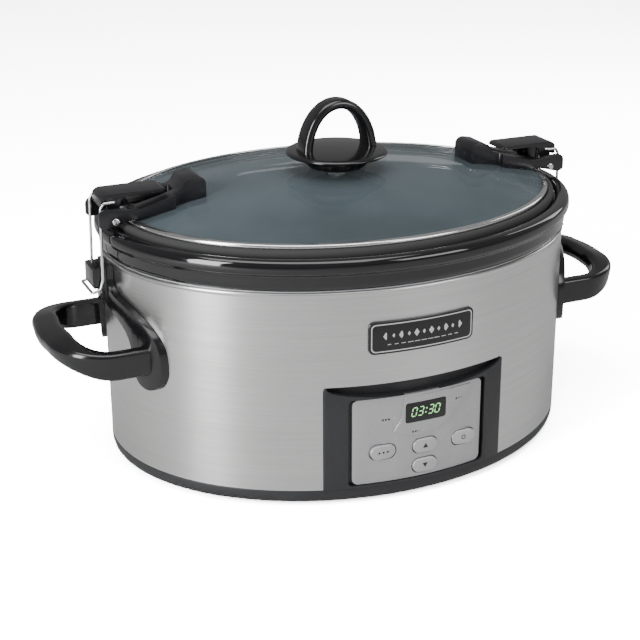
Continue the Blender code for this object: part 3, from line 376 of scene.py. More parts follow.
class Shape:
    """A mesh in the making."""

    def __init__(self) -> None:
        """Starts empty."""
        self.bm = bmesh.new()

    @classmethod
    def turned(cls, profile: Sequence[Corner], steps: int = SMALL_STEPS, closed: bool = True,
               arc: int = 5) -> "Shape":
        """A round body about Z.

        Args:
            profile: (radius, height, ease) corners; ease is how far a corner is rounded back.
            steps: Facets round the axis.
            closed: False where both ends of the profile lie on the axis.
            arc: Segments in each rounded corner.

        Returns:
            The shape.
        """
        shape = cls()
        bm = shape.bm
        made = [bm.verts.new((u, 0.0, v)) for u, v, _ in profile]
        for first, second in zip(made, made[1:]):
            bm.edges.new((first, second))
        if closed:
            bm.edges.new((made[-1], made[0]))
        for vertex, (_, _, ease) in zip(made, profile):
            if ease > 0.0:
                bmesh.ops.bevel(bm, geom=[vertex], offset=ease, affect="VERTICES", segments=arc,
                                profile=0.5, material=-1)
        bmesh.ops.spin(bm, geom=bm.verts[:] + bm.edges[:], cent=(0, 0, 0), axis=(0, 0, 1),
                       angle=TURN, steps=steps, use_merge=True, dvec=(0, 0, 0))
        bmesh.ops.remove_doubles(bm, verts=bm.verts, dist=1e-7)
        return shape

    @classmethod
    def oval(cls, oval: Oval, profile: Sequence[Corner], closed: bool = True,
             steps: int = ROUND_STEPS, arc: int = 5) -> "Shape":
        """A ring or bowl that follows the body's outline; the profile holds (inset, z, ease)."""
        shape = cls.turned([(oval.half_length - inset, z, ease) for inset, z, ease in profile],
                           steps, closed, arc)
        oval.squash(shape.bm)
        return shape

    @classmethod
    def prism(cls, outline: Sequence[Corner], run: Run, low: float, high: float,
              arc: int = 6) -> "Shape":
        """A flat outline of (u, v, ease) corners pushed along an axis from low to high."""
        shape = cls()
        bm = shape.bm
        made = [bm.verts.new(run.at(u, v, low)) for u, v, _ in outline]
        face = bm.faces.new(made)
        for vertex, (_, _, ease) in zip(made, outline):
            if ease > 0.0:
                bmesh.ops.bevel(bm, geom=[vertex], offset=ease, affect="VERTICES", segments=arc,
                                profile=0.5, material=-1)
        face = bm.faces[:]
        pushed = bmesh.ops.extrude_face_region(bm, geom=face)["geom"]
        bmesh.ops.translate(bm, vec=run.at(0.0, 0.0, high - low),
                            verts=[part for part in pushed if isinstance(part, bmesh.types.BMVert)])
        bmesh.ops.recalc_face_normals(bm, faces=bm.faces)
        return shape

    @classmethod
    def sweep(cls, stations: Sequence[Matrix], sections: Sequence[Sequence[Corner]],
              arc: int = 4) -> "Shape":
        """A bar whose section is carried along stations.

        Args:
            stations: One placement for each section, whose X and Y axes hold it.
            sections: The (u, v, ease) outline at each station, all with the same corners.
            arc: Segments in each rounded corner.

        Returns:
            The shape, closed at both ends.
        """
        shape = cls()
        bm = shape.bm
        loops = []
        for station, section in zip(stations, sections):
            known_verts, known_edges = set(bm.verts), set(bm.edges)
            made = [bm.verts.new((u, v, 0.0)) for u, v, _ in section]
            for first, second in zip(made, made[1:] + made[:1]):
                bm.edges.new((first, second))
            for vertex, (_, _, ease) in zip(made, section):
                if ease > 0.0:
                    bmesh.ops.bevel(bm, geom=[vertex], offset=ease, affect="VERTICES", segments=arc,
                                    profile=0.5, material=-1)
            fresh = [vertex for vertex in bm.verts if vertex not in known_verts]
            bmesh.ops.transform(bm, matrix=station, verts=fresh)
            loops.append([edge for edge in bm.edges if edge not in known_edges])
        for first, second in zip(loops, loops[1:]):
            bmesh.ops.bridge_loops(bm, edges=first + second)
        for end in (loops[0], loops[-1]):
            bmesh.ops.contextual_create(bm, geom=end)
        bmesh.ops.recalc_face_normals(bm, faces=bm.faces)
        return shape

    @classmethod
    def wire(cls, route: Sequence[Vector], radius: float, bend: float, steps: int = 10) -> "Shape":
        """A round bent wire through the route's corners, each rounded back by bend."""
        path = bmesh.new()
        made = [path.verts.new(point) for point in route]
        for first, second in zip(made, made[1:]):
            path.edges.new((first, second))
        for vertex in made[1:-1]:
            bmesh.ops.bevel(path, geom=[vertex], offset=bend, affect="VERTICES", segments=5,
                            profile=0.5, material=-1)
        ordered = [made[0].co.copy()]
        here, seen = made[0], {made[0]}
        while True:
            nexts = [edge.other_vert(here) for edge in here.link_edges if edge.other_vert(here) not in seen]
            if not nexts:
                break
            here = nexts[0]
            seen.add(here)
            ordered.append(here.co.copy())
        path.free()
        stations = []
        side = Vector((0.0, 0.0, 1.0))
        for index, point in enumerate(ordered):
            run = (ordered[min(index + 1, len(ordered) - 1)] - ordered[max(index - 1, 0)]).normalized()
            across = side.cross(run)
            if across.length < 0.2:
                across = Vector((1.0, 0.0, 0.0)).cross(run)
            across.normalize()
            side = run.cross(across).normalized()
            stations.append(Matrix.Translation(point) @ Matrix((across, side, run)).transposed().to_4x4())
        circle = [(radius * math.cos(TURN * i / steps), radius * math.sin(TURN * i / steps), 0.0)
                  for i in range(steps)]
        return cls.sweep(stations, [circle] * len(stations))

    def moved(self, matrix: Matrix) -> "Shape":
        """Places the shape; a mirroring matrix turns its faces back out."""
        bmesh.ops.transform(self.bm, matrix=matrix, verts=self.bm.verts)
        if matrix.determinant() < 0.0:
            bmesh.ops.reverse_faces(self.bm, faces=self.bm.faces)
        return self

    def mirrored(self, side: int) -> "Shape":
        """The same shape for the right (1) or the left (-1)."""
        return self.moved(Matrix.Diagonal((side, 1.0, 1.0, 1.0))) if side < 0 else self

    def eased(self, width: float, segments: int = 3, sharper_than: float = 28.0,
              where: Callable[[bmesh.types.BMEdge], bool] | None = None) -> "Shape":
        """Bevels every edge sharper than an angle."""
        limit = math.radians(sharper_than)
        edges = [edge for edge in self.bm.edges if edge.is_manifold
                 and edge.calc_face_angle(0.0) > limit and (where is None or where(edge))]
        bmesh.ops.bevel(self.bm, geom=edges, offset=width, affect="EDGES", segments=segments,
                        profile=0.5, material=-1, clamp_overlap=True)
        return self

    def with_tool(self, tool: "Shape", operation: str) -> "Shape":
        """Cuts, joins or clips the shape with another by an exact Boolean.

        Args:
            tool: The other closed shape, which is used up.
            operation: DIFFERENCE, UNION or INTERSECT.

        Returns:
            This shape, remade.
        """
        target, other = self.bare_object("target"), tool.bare_object("tool")
        modifier = target.modifiers.new("cut", "BOOLEAN")
        modifier.operation = operation
        modifier.solver = "EXACT"
        modifier.object = other
        graph = bpy.context.evaluated_depsgraph_get()
        made = bpy.data.meshes.new_from_object(target.evaluated_get(graph))
        self.bm.clear()
        self.bm.from_mesh(made)
        for piece in (target, other):
            mesh = piece.data
            bpy.data.objects.remove(piece)
            bpy.data.meshes.remove(mesh)
        bpy.data.meshes.remove(made)
        tool.bm.free()
        bmesh.ops.remove_doubles(self.bm, verts=self.bm.verts, dist=1e-6)
        bmesh.ops.dissolve_degenerate(self.bm, edges=self.bm.edges, dist=1e-6)
        return self

    def cut(self, tool: "Shape") -> "Shape":
        """Removes the tool's space."""
        return self.with_tool(tool, "DIFFERENCE")

    def clip(self, tool: "Shape") -> "Shape":
        """Keeps only the tool's space."""
        return self.with_tool(tool, "INTERSECT")

    def join(self, tool: "Shape") -> "Shape":
        """Adds the tool's space."""
        return self.with_tool(tool, "UNION")

    def add(self, other: "Shape") -> "Shape":
        """Puts another closed shape into the same piece."""
        mesh = bpy.data.meshes.new("part")
        other.bm.to_mesh(mesh)
        self.bm.from_mesh(mesh)
        bpy.data.meshes.remove(mesh)
        other.bm.free()
        return self

    def bare_object(self, name: str) -> bpy.types.Object:
        """An object for a Boolean, with its faces turned out."""
        self.face_out()
        mesh = bpy.data.meshes.new(name)
        self.bm.to_mesh(mesh)
        made = bpy.data.objects.new(name, mesh)
        bpy.context.scene.collection.objects.link(made)
        return made

    def face_out(self) -> None:
        """Makes every face point away from the material."""
        bmesh.ops.recalc_face_normals(self.bm, faces=self.bm.faces)
        if self.bm.calc_volume(signed=True) < 0.0:
            bmesh.ops.reverse_faces(self.bm, faces=self.bm.faces)

    def piece(self, name: str, finish: Finish, body: str, replaces: Iterable[str] = (),
              sharp: float = 40.0) -> bpy.types.Object:
        """Finishes the shape as one of the cooker's pieces.

        Args:
            name: The piece's name.
            finish: Its finish.
            body: The body that it rides on.
            replaces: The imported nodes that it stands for.
            sharp: Edges sharper than this many degrees stay crisp.

        Returns:
            The object, at the origin.
        """
        self.face_out()
        mesh = bpy.data.meshes.new(name)
        self.bm.to_mesh(mesh)
        self.bm.free()
        mesh.shade_smooth()
        mesh.set_sharp_from_angle(angle=math.radians(sharp))
        mesh.materials.append(finish.material())
        made = bpy.data.objects.new(name, mesh)
        bpy.context.scene.collection.objects.link(made)
        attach(made, body)
        names = list(replaces)
        if names:
            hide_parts(*names)
        log.info("%s: %d faces on %s", name, len(mesh.polygons), body)
        return made


def boxed(half_u: float, half_v: float, ease: float, centre: Edge = (0.0, 0.0)) -> list[Corner]:
    """A rectangle about a centre, with all its corners eased."""
    u, v = centre
    return [(u - half_u, v - half_v, ease), (u + half_u, v - half_v, ease),
            (u + half_u, v + half_v, ease), (u - half_u, v + half_v, ease)]


def span(node: str, axis: int) -> Edge:
    """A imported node's lowest and highest place along an axis."""
    low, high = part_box(node)
    return low[axis], high[axis]


def middle(node: str) -> Vector:
    """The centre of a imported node's box."""
    low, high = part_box(node)
    return (low + high) / 2.0


# --- Body -------------------------------------------------------------------------------------
@dataclass
class Base:
    """The moulded base ring and its feet."""

    oval: Oval
    floor: float = 0.0025
    ring_wall: float = 0.0045

    def build(self) -> None:
        """Makes the ring with its floor, and four feet."""
        low = span("base_tray", 2)[0]
        top = span("outer_wrap", 2)[0] - GAP
        axis = self.oval.half_length
        Shape.oval(self.oval, [
            (axis, low + 0.0012, 0), (0.0300, low + 0.0012, 0.0008), (0.0280, low, 0.0008),
            (0.0060, low, 0.0010), (0.0012, low + 0.0006, 0.0012), (0.0, low + 0.0036, 0.0014),
            (0.0, top, 0.0005), (self.ring_wall, top, 0.0005), (self.ring_wall, low + self.floor, 0.001),
            (axis, low + self.floor, 0),
        ], closed=False).piece("base_ring", RING, "base", ["base_tray"])
        for row in ("front", "back"):
            for side in ("left", "right"):
                self.foot(f"foot_{row}_{side}")

    def foot(self, node: str) -> None:
        """One rubber foot with a dished face round its screw."""
        centre = middle(node)
        low, high = span(node, 2)
        radius = (span(node, 0)[1] - span(node, 0)[0]) / 2
        Shape.turned([
            (0.0048, low + 0.0011, 0.0003), (0.0048, low, 0.0003), (radius - 0.0014, low, 0.0005),
            (radius, low + 0.0009, 0.0005), (radius, high, 0.0002), (0.0019, high, 0),
            (0.0019, low + 0.0011, 0),
        ]).moved(Matrix.Translation((centre.x, centre.y, 0.0))).piece(node + "_pad", RUBBER, "base", [node])


@dataclass
class Wrap:
    """The brushed outer sheet with its rolled bead, open at the front for the panel."""

    oval: Oval
    wall: float = 0.0010
    bead: float = 0.0006
    opening_ease: float = 0.0025

    def build(self) -> None:
        """Turns the sheet and cuts the panel's opening."""
        low, high = span("outer_wrap", 2)
        half = span("control_bezel", 0)[1] + GAP
        panel_top = span("control_bezel", 2)[1] + GAP
        sheet = Shape.oval(self.oval, [
            (0.0, low, 0), (0.0, high - 0.0026, 0.0006), (-self.bead, high - 0.0017, 0.0005),
            (-self.bead, high - 0.0006, 0.0004), (0.0, high, 0.0003), (self.wall, high, 0),
            (self.wall, low, 0),
        ], arc=4)
        depth = self.oval.half_depth
        opening = [(-half, low - 0.01, 0), (half, low - 0.01, 0), (half, panel_top, self.opening_ease),
                   (-half, panel_top, self.opening_ease)]
        sheet.cut(Shape.prism(opening, Run.Y, -depth - 0.01, -0.6 * depth))
        sheet.piece("wrap_sheet", STEEL, "base", ["outer_wrap"], sharp=30.0)


@dataclass
class Crock:
    """The glazed stoneware crock with its broad lip and the ledge that takes the lid."""

    oval: Oval
    wall: float = 0.0068
    lip_roll: float = 0.0043

    def build(self) -> None:
        """Turns the crock in one piece, outside and inside."""
        low, high = span("crock", 2)
        seat = span("heating_well", 2)[1] + GAP
        ledge = span("lid_gasket", 2)[0] - GAP
        axis = self.oval.half_length
        lip = self.lip_roll
        Shape.oval(self.oval, [
            (axis, low, 0), (0.0385, low, 0.002), (0.0275, low + 0.0110, 0.007),
            (0.0175, seat - 0.008, 0.006),
            (0.0175, seat, 0.0006), (0.0002, seat, 0.0012), (-0.0014, seat + 0.0030, 0.0014),
            (-0.0014, seat + 0.0096, 0.0010), (-lip + 0.0002, seat + 0.0122, 0.0012),
            (-lip, high - 0.0050, 0.0020), (-lip + 0.0008, high - 0.0014, 0.0016), (-0.0010, high, 0.0022),
            (0.0046, high, 0.0012), (0.0056, ledge, 0.0006), (0.0170, ledge, 0.0010),
            (0.0233, ledge - 0.0050, 0.0030), (0.0243, seat - 0.012, 0.006),
            (0.0343, low + 0.020, 0.010), (0.0450, low + 0.0090, 0.006), (0.0650, low + 0.0080, 0.003),
            (axis, low + 0.0080, 0),
        ], closed=False, arc=6).piece("crock_stoneware", GLAZE, "pot", ["crock"], sharp=60.0)


# --- Lid --------------------------------------------------------------------------------------
@dataclass
class Lid:
    """Glass dome in a steel rim, its gasket, and the arched handle on its disc."""

    oval: Oval
    dome_inset: float = 0.0165
    dome_rise: float = 0.0150
    thickness: float = 0.0040
    arch_band: float = 0.0068
    arch_width: float = 0.0150
    stem_height: float = 0.0088
    arch_half: float = 0.0240
    fullness: float = 2.6

    def dome(self, edge: float, count: int = 12) -> list[Corner]:
        """Corners of the dome's curve from the axis out, for an edge at that height."""
        reach = self.oval.half_length - self.dome_inset
        shares = [step / count for step in range(count + 1)]
        return [(self.oval.half_length - share * reach,
                 edge + self.dome_rise * (1.0 - share ** self.fullness), 0) for share in shares]

    def build(self) -> None:
        """Makes the glass, rim, gasket and handle."""
        round_oval = Oval(self.oval.half_length, self.oval.half_depth, self.dome_inset)
        low, crown = span("lid_glass", 2)
        outer = self.oval.half_length - span("lid_glass", 0)[1]
        edge = crown - self.dome_rise
        under = self.dome(edge - self.thickness)
        Shape.oval(round_oval, self.dome(edge) + [
            (outer, edge - 0.0004, 0.0006), (outer, low, 0.0006),
        ] + under[::-1], closed=False, arc=4).piece(
            "lid_glass_dome", GLASS, "lid", ["lid_glass"], sharp=50.0)
        rim_low, rim_high = span("lid_rim", 2)
        rim = self.oval.half_length - span("lid_rim", 0)[1]
        inner = self.dome_inset - 0.0012
        Shape.oval(self.oval, [
            (rim, rim_low, 0.0002), (rim, rim_high - 0.0002, 0.0012), (inner, rim_high, 0.0004),
            (inner, rim_high - 0.0008, 0.0002), (rim + 0.0008, rim_high - 0.0009, 0.0004),
            (rim + 0.0008, rim_low, 0.0002),
        ]).piece("lid_rim_band", RIM, "lid", ["lid_rim"], sharp=50.0)
        low, high = span("lid_gasket", 2)
        outer = self.oval.half_length - span("lid_gasket", 0)[1]
        inner = rim - GAP
        Shape.oval(self.oval, [
            (outer + 0.0003, low, 0.0004), (outer, low + 0.0028, 0.0010),
            (outer + 0.0006, high - 0.0014, 0.0008),
            ((outer + inner) / 2, high, 0.0014), (inner, high - 0.0010, 0.0006), (inner, low, 0.0003),
        ]).piece("lid_gasket_ring", RUBBER, "lid", ["lid_gasket"], sharp=50.0)
        self.handle()

    def handle(self) -> None:
        """A turned disc on a bowl-shaped stem, under a flat-sided arch."""
        foot, top = span("lid_handle", 2)
        disc = foot + self.stem_height
        rim = span("lid_handle", 0)[1]
        knob = Shape.turned([
            (0.0, foot, 0), (0.0190, foot, 0.0015), (0.0232, foot + 0.0040, 0.0034),
            (0.0247, disc - 0.0010, 0.0012), (rim - 0.0016, disc, 0.0010),
            (rim, disc + 0.0012, 0.0011), (rim - 0.0022, disc + 0.0029, 0.0012),
            (0.0200, disc + 0.0042, 0.0060), (0.0, disc + 0.0050, 0),
        ], steps=96, closed=False)
        springing = disc + 0.0020
        height = top - springing - self.arch_band / 2
        half = self.arch_half
        stations, steps = [], 40
        for step in range(steps + 1):
            angle = math.pi * step / steps
            point = Vector((half * math.cos(angle), 0.0, springing + height * math.sin(angle) - 0.0008))
            out = Vector((height * math.cos(angle), 0.0, half * math.sin(angle))).normalized()
            across = Vector((0.0, 1.0, 0.0))
            frame_axes = Matrix((out, across, out.cross(across))).transposed().to_4x4()
            stations.append(Matrix.Translation(point) @ frame_axes)
        sections = []
        for step in range(steps + 1):
            spread = 1.0 - math.sin(math.pi * step / steps)
            sections.append(boxed(self.arch_band / 2, (self.arch_width + 0.0030 * spread) / 2, 0.0031))
        knob.join(Shape.sweep(stations, sections))
        knob.piece("lid_handle_arch", HANDLE, "lid", ["lid_handle"], sharp=45.0)


# --- Side handles -----------------------------------------------------------------------------
@dataclass
class SideHandle:
    """One moulding: arched plate, two arms, the grip, and the hook block under the lip."""

    oval: Oval
    side: int
    half_span: float = 0.0500
    bend: float = 0.0280
    proud: float = 0.0045
    hook_low: float = 0.1290
    hook_high: float = 0.1430
    hook_half_width: float = 0.0100

    @property
    def name(self) -> str:
        """left or right"""
        return "left" if self.side < 0 else "right"

    def grip(self) -> Shape:
        """The strap from the front root round to the back root."""
        node = "side_handle_" + self.name
        far = max(abs(x) for x in span(node, 0))
        screw_low, screw_high = span(f"handle_screw_{self.name}_front", 2)
        centre = (screw_low + screw_high) / 2
        reach = far - 0.0110
        arm_end = reach - self.bend
        root = self.oval.x_at(self.half_span) - 0.0030
        plan: list[tuple[float, float, float]] = [(root, -self.half_span, 0.0),
                                                  ((root + arm_end) / 2, -self.half_span, 0.0)]
        quarter = 12
        for step in range(quarter + 1):
            angle = math.radians(90.0 * step / quarter)
            share = step / quarter
            plan.append((arm_end + self.bend * math.sin(angle),
                         -self.half_span + (self.bend + 0.006) * (1.0 - math.cos(angle)),
                         share * share * (3.0 - 2.0 * share)))
        plan.append((reach + 0.0011, -0.0080, 1.0))
        plan.append((reach + 0.0015, 0.0, 1.0))
        plan += [(x, -y, share) for x, y, share in reversed(plan[:-1])]
        stations, sections = [], []
        for index, (x, y, share) in enumerate(plan):
            before, after = plan[max(index - 1, 0)], plan[min(index + 1, len(plan) - 1)]
            run = Vector((after[0] - before[0], after[1] - before[1], 0.0)).normalized()
            out = Vector((run.y, -run.x, 0.0))
            tilt = math.radians(13.0) * share
            up = Vector((0.0, 0.0, 1.0))
            across = out * math.cos(tilt) - up * math.sin(tilt)
            rise = out * math.sin(tilt) + up * math.cos(tilt)
            point = Vector((x, y, centre + 0.0080 * share))
            axes = Matrix((across, rise, across.cross(rise))).transposed().to_4x4()
            stations.append(Matrix.Translation(point) @ axes)
            sections.append(boxed(0.0045 + 0.0046 * share, 0.00925 - 0.0030 * share,
                                  0.0026 + 0.0022 * share))
        return Shape.sweep(stations, sections, arc=6)

    def plate_outline(self) -> list[Corner]:
        """The plate seen from the side: two hanging lobes joined over the top by a band."""
        top = span("side_handle_" + self.name, 2)[1]
        half = [
            (0.0080, 0.1165, 0.004), (0.0250, 0.1115, 0.006), (0.0352, 0.1035, 0.005),
            (0.0385, 0.0930, 0.004), (0.0395, 0.0765, 0.006), (0.0470, 0.0705, 0.0035),
            (0.0560, 0.0705, 0.0045), (0.0625, 0.0790, 0.006), (0.0625, 0.0940, 0.006),
            (0.0600, 0.1045, 0.005), (0.0500, 0.1155, 0.006), (0.0330, 0.1232, 0.006),
            (0.0150, 0.1275, 0.005), (0.0112, 0.1330, 0.003), (0.0115, top, 0),
        ]
        return half + [(-u, v, ease) for u, v, ease in reversed(half)]

    def build(self) -> None:
        """Joins plate, grip and hook, and mirrors them for the left."""
        low, high = span("side_handle_" + self.name, 2)
        plate = Shape.prism(self.plate_outline(), Run.X, 0.10, 0.20)
        plate.clip(Shape.oval(self.oval, [
            (-GAP, low - 0.01, 0), (-self.proud, low - 0.01, 0), (-self.proud, high + 0.01, 0),
            (-GAP, high + 0.01, 0)]))
        a, b = self.oval.half_length, self.oval.half_depth
        far_out = 1.0 + (self.proud - 0.0008) / a
        plate.eased(0.0011, 3, 30.0, lambda edge: all(
            math.hypot(v.co.x / a, v.co.y / b) > far_out for v in edge.verts))
        nose = max(abs(x) for x in span("latch_bail_" + self.name, 0)) - 0.00234
        hook = Shape.prism([
            (a + 0.0004, 0.1205, 0), (a + 0.0042, 0.1205, 0.001), (nose - 0.0062, 0.1290, 0.002),
            (nose, self.hook_low, 0.0012), (nose, self.hook_high, 0.0012), (a + 0.0004, self.hook_high, 0),
        ], Run.Y, -self.hook_half_width, self.hook_half_width).eased(
            0.0007, 3, 60.0, lambda edge: all(v.co.x > a + 0.001 for v in edge.verts))
        plate.join(hook).join(self.grip())
        plate.mirrored(self.side).piece(f"handle_{self.name}", HANDLE, "base",
                                        ["side_handle_" + self.name], sharp=40.0)


# --- Latches ----------------------------------------------------------------------------------
@dataclass
class Latch:
    """One clip: bracket over the glass, hinge pin, folding lever and wire bail."""

    oval: Oval
    side: int
    wire: float = 0.0010

    @property
    def name(self) -> str:
        """left or right"""
        return "left" if self.side < 0 else "right"

    def reach(self, node: str, axis: int = 0) -> Edge:
        """A node's nearest and furthest place from the middle along an axis."""
        low, high = span(f"{node}_{self.name}", axis)
        return min(abs(low), abs(high)), max(abs(low), abs(high))

    def build(self) -> None:
        """Makes the clip's pieces on the right and mirrors them for the left."""
        self.bracket()
        self.pin()
        self.lever()
        self.bail()

    def bracket(self) -> None:
        """The fixed arm: clamp block inside, slim arm, fork with wedge-shaped cheeks outside."""
        inner, outer = self.reach("latch_bracket")
        low, high = self.reach("latch_bracket", 2)
        half = self.reach("latch_bracket", 1)[1]
        rim = low + 0.0042
        block_end = inner + 0.0170
        side_view = [
            (inner, rim + 0.0040, 0.001), (inner + 0.0250, rim + 0.0022, 0.006), (0.1535, rim, 0.002),
            (0.1575, rim - 0.0012, 0.001), (0.1690, low, 0.001), (outer, rim - 0.0030, 0.0016),
            (outer, rim + 0.0062, 0.0022), (outer - 0.0030, rim + 0.0086, 0.0012),
            (0.1600, rim + 0.0084, 0.0030), (0.1500, rim + 0.0058, 0.0060), (0.1275, rim + 0.0112, 0.0040),
            (block_end + 0.0070, rim + 0.0128, 0.0020), (block_end, rim + 0.0148, 0.0016),
            (block_end - 0.0030, high - 0.0020, 0.0020), (inner + 0.0034, high, 0.0030),
            (inner, high - 0.0036, 0.0026),
        ]
        arm = Shape.prism(side_view, Run.Y, -half, half, arc=4)
        gap = 0.0148
        slot_in = 0.1480
        top = high + 0.02
        arm.cut(Shape.prism([(slot_in, 0.15, 0), (0.20, 0.15, 0), (0.20, top, 0), (slot_in, top, 0)],
                            Run.Y, -gap, gap))
        for end in (-1, 1):
            near, far = sorted((end * 0.0125, end * 0.03))
            waist = [(0.09, near, 0), (block_end + 0.0060, near, 0), (block_end + 0.0060, far, 0),
                     (0.09, far, 0)]
            waist = [(u, v, 0.002 if u > 0.1 and abs(v) < 0.02 else 0.0) for u, v, _ in waist]
            arm.cut(Shape.prism(waist, Run.Z, 0.15, top))
        arm.cut(Shape.prism(boxed(0.0150, 0.0052, 0.0020, (0.1345, 0.0)), Run.Z, rim + 0.0052, top))
        arm.eased(0.0005, 2, 32.0)
        arm.mirrored(self.side).piece(f"clip_bracket_{self.name}", LATCH, "lid",
                                      [f"latch_bracket_{self.name}"], sharp=35.0)

    def pin(self) -> None:
        """The riveted hinge pin, domed at both ends."""
        node = f"hinge_pin_{self.name}"
        centre = middle(node)
        half = span(node, 1)[1]
        Shape.turned([
            (0.0, -half, 0), (0.0018, -half + 0.0001, 0.0006), (0.0024, -half + 0.0006, 0.0003),
            (0.0024, -half + 0.0010, 0), (0.0014, -half + 0.0010, 0), (0.0014, half - 0.0010, 0),
            (0.0024, half - 0.0010, 0), (0.0024, half - 0.0006, 0.0003),
            (0.0018, half - 0.0001, 0.0006), (0.0, half, 0),
        ], closed=False).moved(
            Matrix.Translation((centre.x, 0.0, centre.z)) @ Matrix.Rotation(math.radians(-90.0), 4, "X")
        ).piece(f"clip_pin_{self.name}", BRIGHT, "lid", [node], sharp=50.0)

    def lever(self) -> None:
        """The folding plate with its turned-down outer end and two ears on the pin."""
        inner, outer = self.reach("latch_lever")
        low, high = self.reach("latch_lever", 2)
        half = self.reach("latch_lever", 1)[1]
        hinge = middle(f"hinge_pin_{self.name}")
        hinge_x = abs(hinge.x)
        under = high - 0.0028
        plate = Shape.prism([
            (inner, under + 0.0006, 0.0004), (inner + 0.0060, under, 0.003),
            (outer - 0.0032, under, 0.0008),
            (outer - 0.0026, under - 0.0065, 0.0006), (outer, under - 0.0065, 0.0008),
            (outer, under + 0.0004, 0.0012), (outer - 0.0034, high, 0.0016),
            (inner + 0.0030, high, 0.0014),
        ], Run.Y, -half, half, arc=4)
        corner = 0.0040
        plan = [(inner - 0.001, -half + corner * 0.8, 0.002), (inner + corner, -half - 0.001, 0.002),
                (outer + 0.01, -half - 0.001, 0), (outer + 0.01, half + 0.001, 0),
                (inner + corner, half + 0.001, 0.002), (inner - 0.001, half - corner * 0.8, 0.002)]
        plate.clip(Shape.prism(plan, Run.Z, low - 0.01, high + 0.01))
        plate.eased(0.0006, 3, 35.0)
        turns = [math.radians(degrees) for degrees in range(-180, 1, 20)]
        ear = [(hinge_x + 0.0030 * math.cos(turn), hinge.z + 0.0030 * math.sin(turn), 0)
               for turn in turns]
        pivot = hinge.z + 0.0118
        ear += [(hinge_x + 0.0040, pivot, 0.002), (hinge_x + 0.0040, under + 0.001, 0),
                (hinge_x - 0.0120, under + 0.001, 0), (hinge_x - 0.0060, pivot, 0.002)]
        for end in (-1, 1):
            near, far = sorted((end * half, end * (half - 0.0022)))
            plate.join(Shape.prism(ear, Run.Y, near, far).eased(0.0003, 2, 40.0))
        plate.mirrored(self.side).piece(f"clip_lever_{self.name}", LATCH, f"lever_{self.name}",
                                        [f"latch_lever_{self.name}"], sharp=35.0)

    def bail(self) -> None:
        """The bent wire from one ear, down past the hook block, and up to the other."""
        node = f"latch_bail_{self.name}"
        near, far = self.reach("latch_bail")
        low, high = span(node, 2)
        half = span(node, 1)[1] - self.wire
        pivot_x, pivot_z = near + self.wire, high - self.wire
        bar_x, bar_z = far - 0.00074, low + 0.00096
        ear = self.reach("latch_lever", 1)[1] - 0.0016
        leg = [
            Vector((pivot_x, ear, pivot_z)), Vector((pivot_x, half, pivot_z)),
            Vector((0.1690, half, pivot_z - 0.0002)), Vector((0.1712, half, pivot_z - 0.0035)),
            Vector((0.1724, half, bar_z + 0.0080)), Vector((0.1742, half, bar_z + 0.0016)),
            Vector((bar_x, half, bar_z)),
        ]
        route = leg + [Vector((point.x, -point.y, point.z)) for point in reversed(leg)]
        Shape.wire(route, self.wire, 0.0011, 12).mirrored(self.side).piece(
            f"clip_wire_{self.name}", BRIGHT, f"bail_{self.name}", [node], sharp=60.0)


# --- Control panel ----------------------------------------------------------------------------
class Mark(Enum):
    """What a key shows on its face."""

    DOTS = "dots"
    UP = "up"
    DOWN = "down"
    RING = "ring"


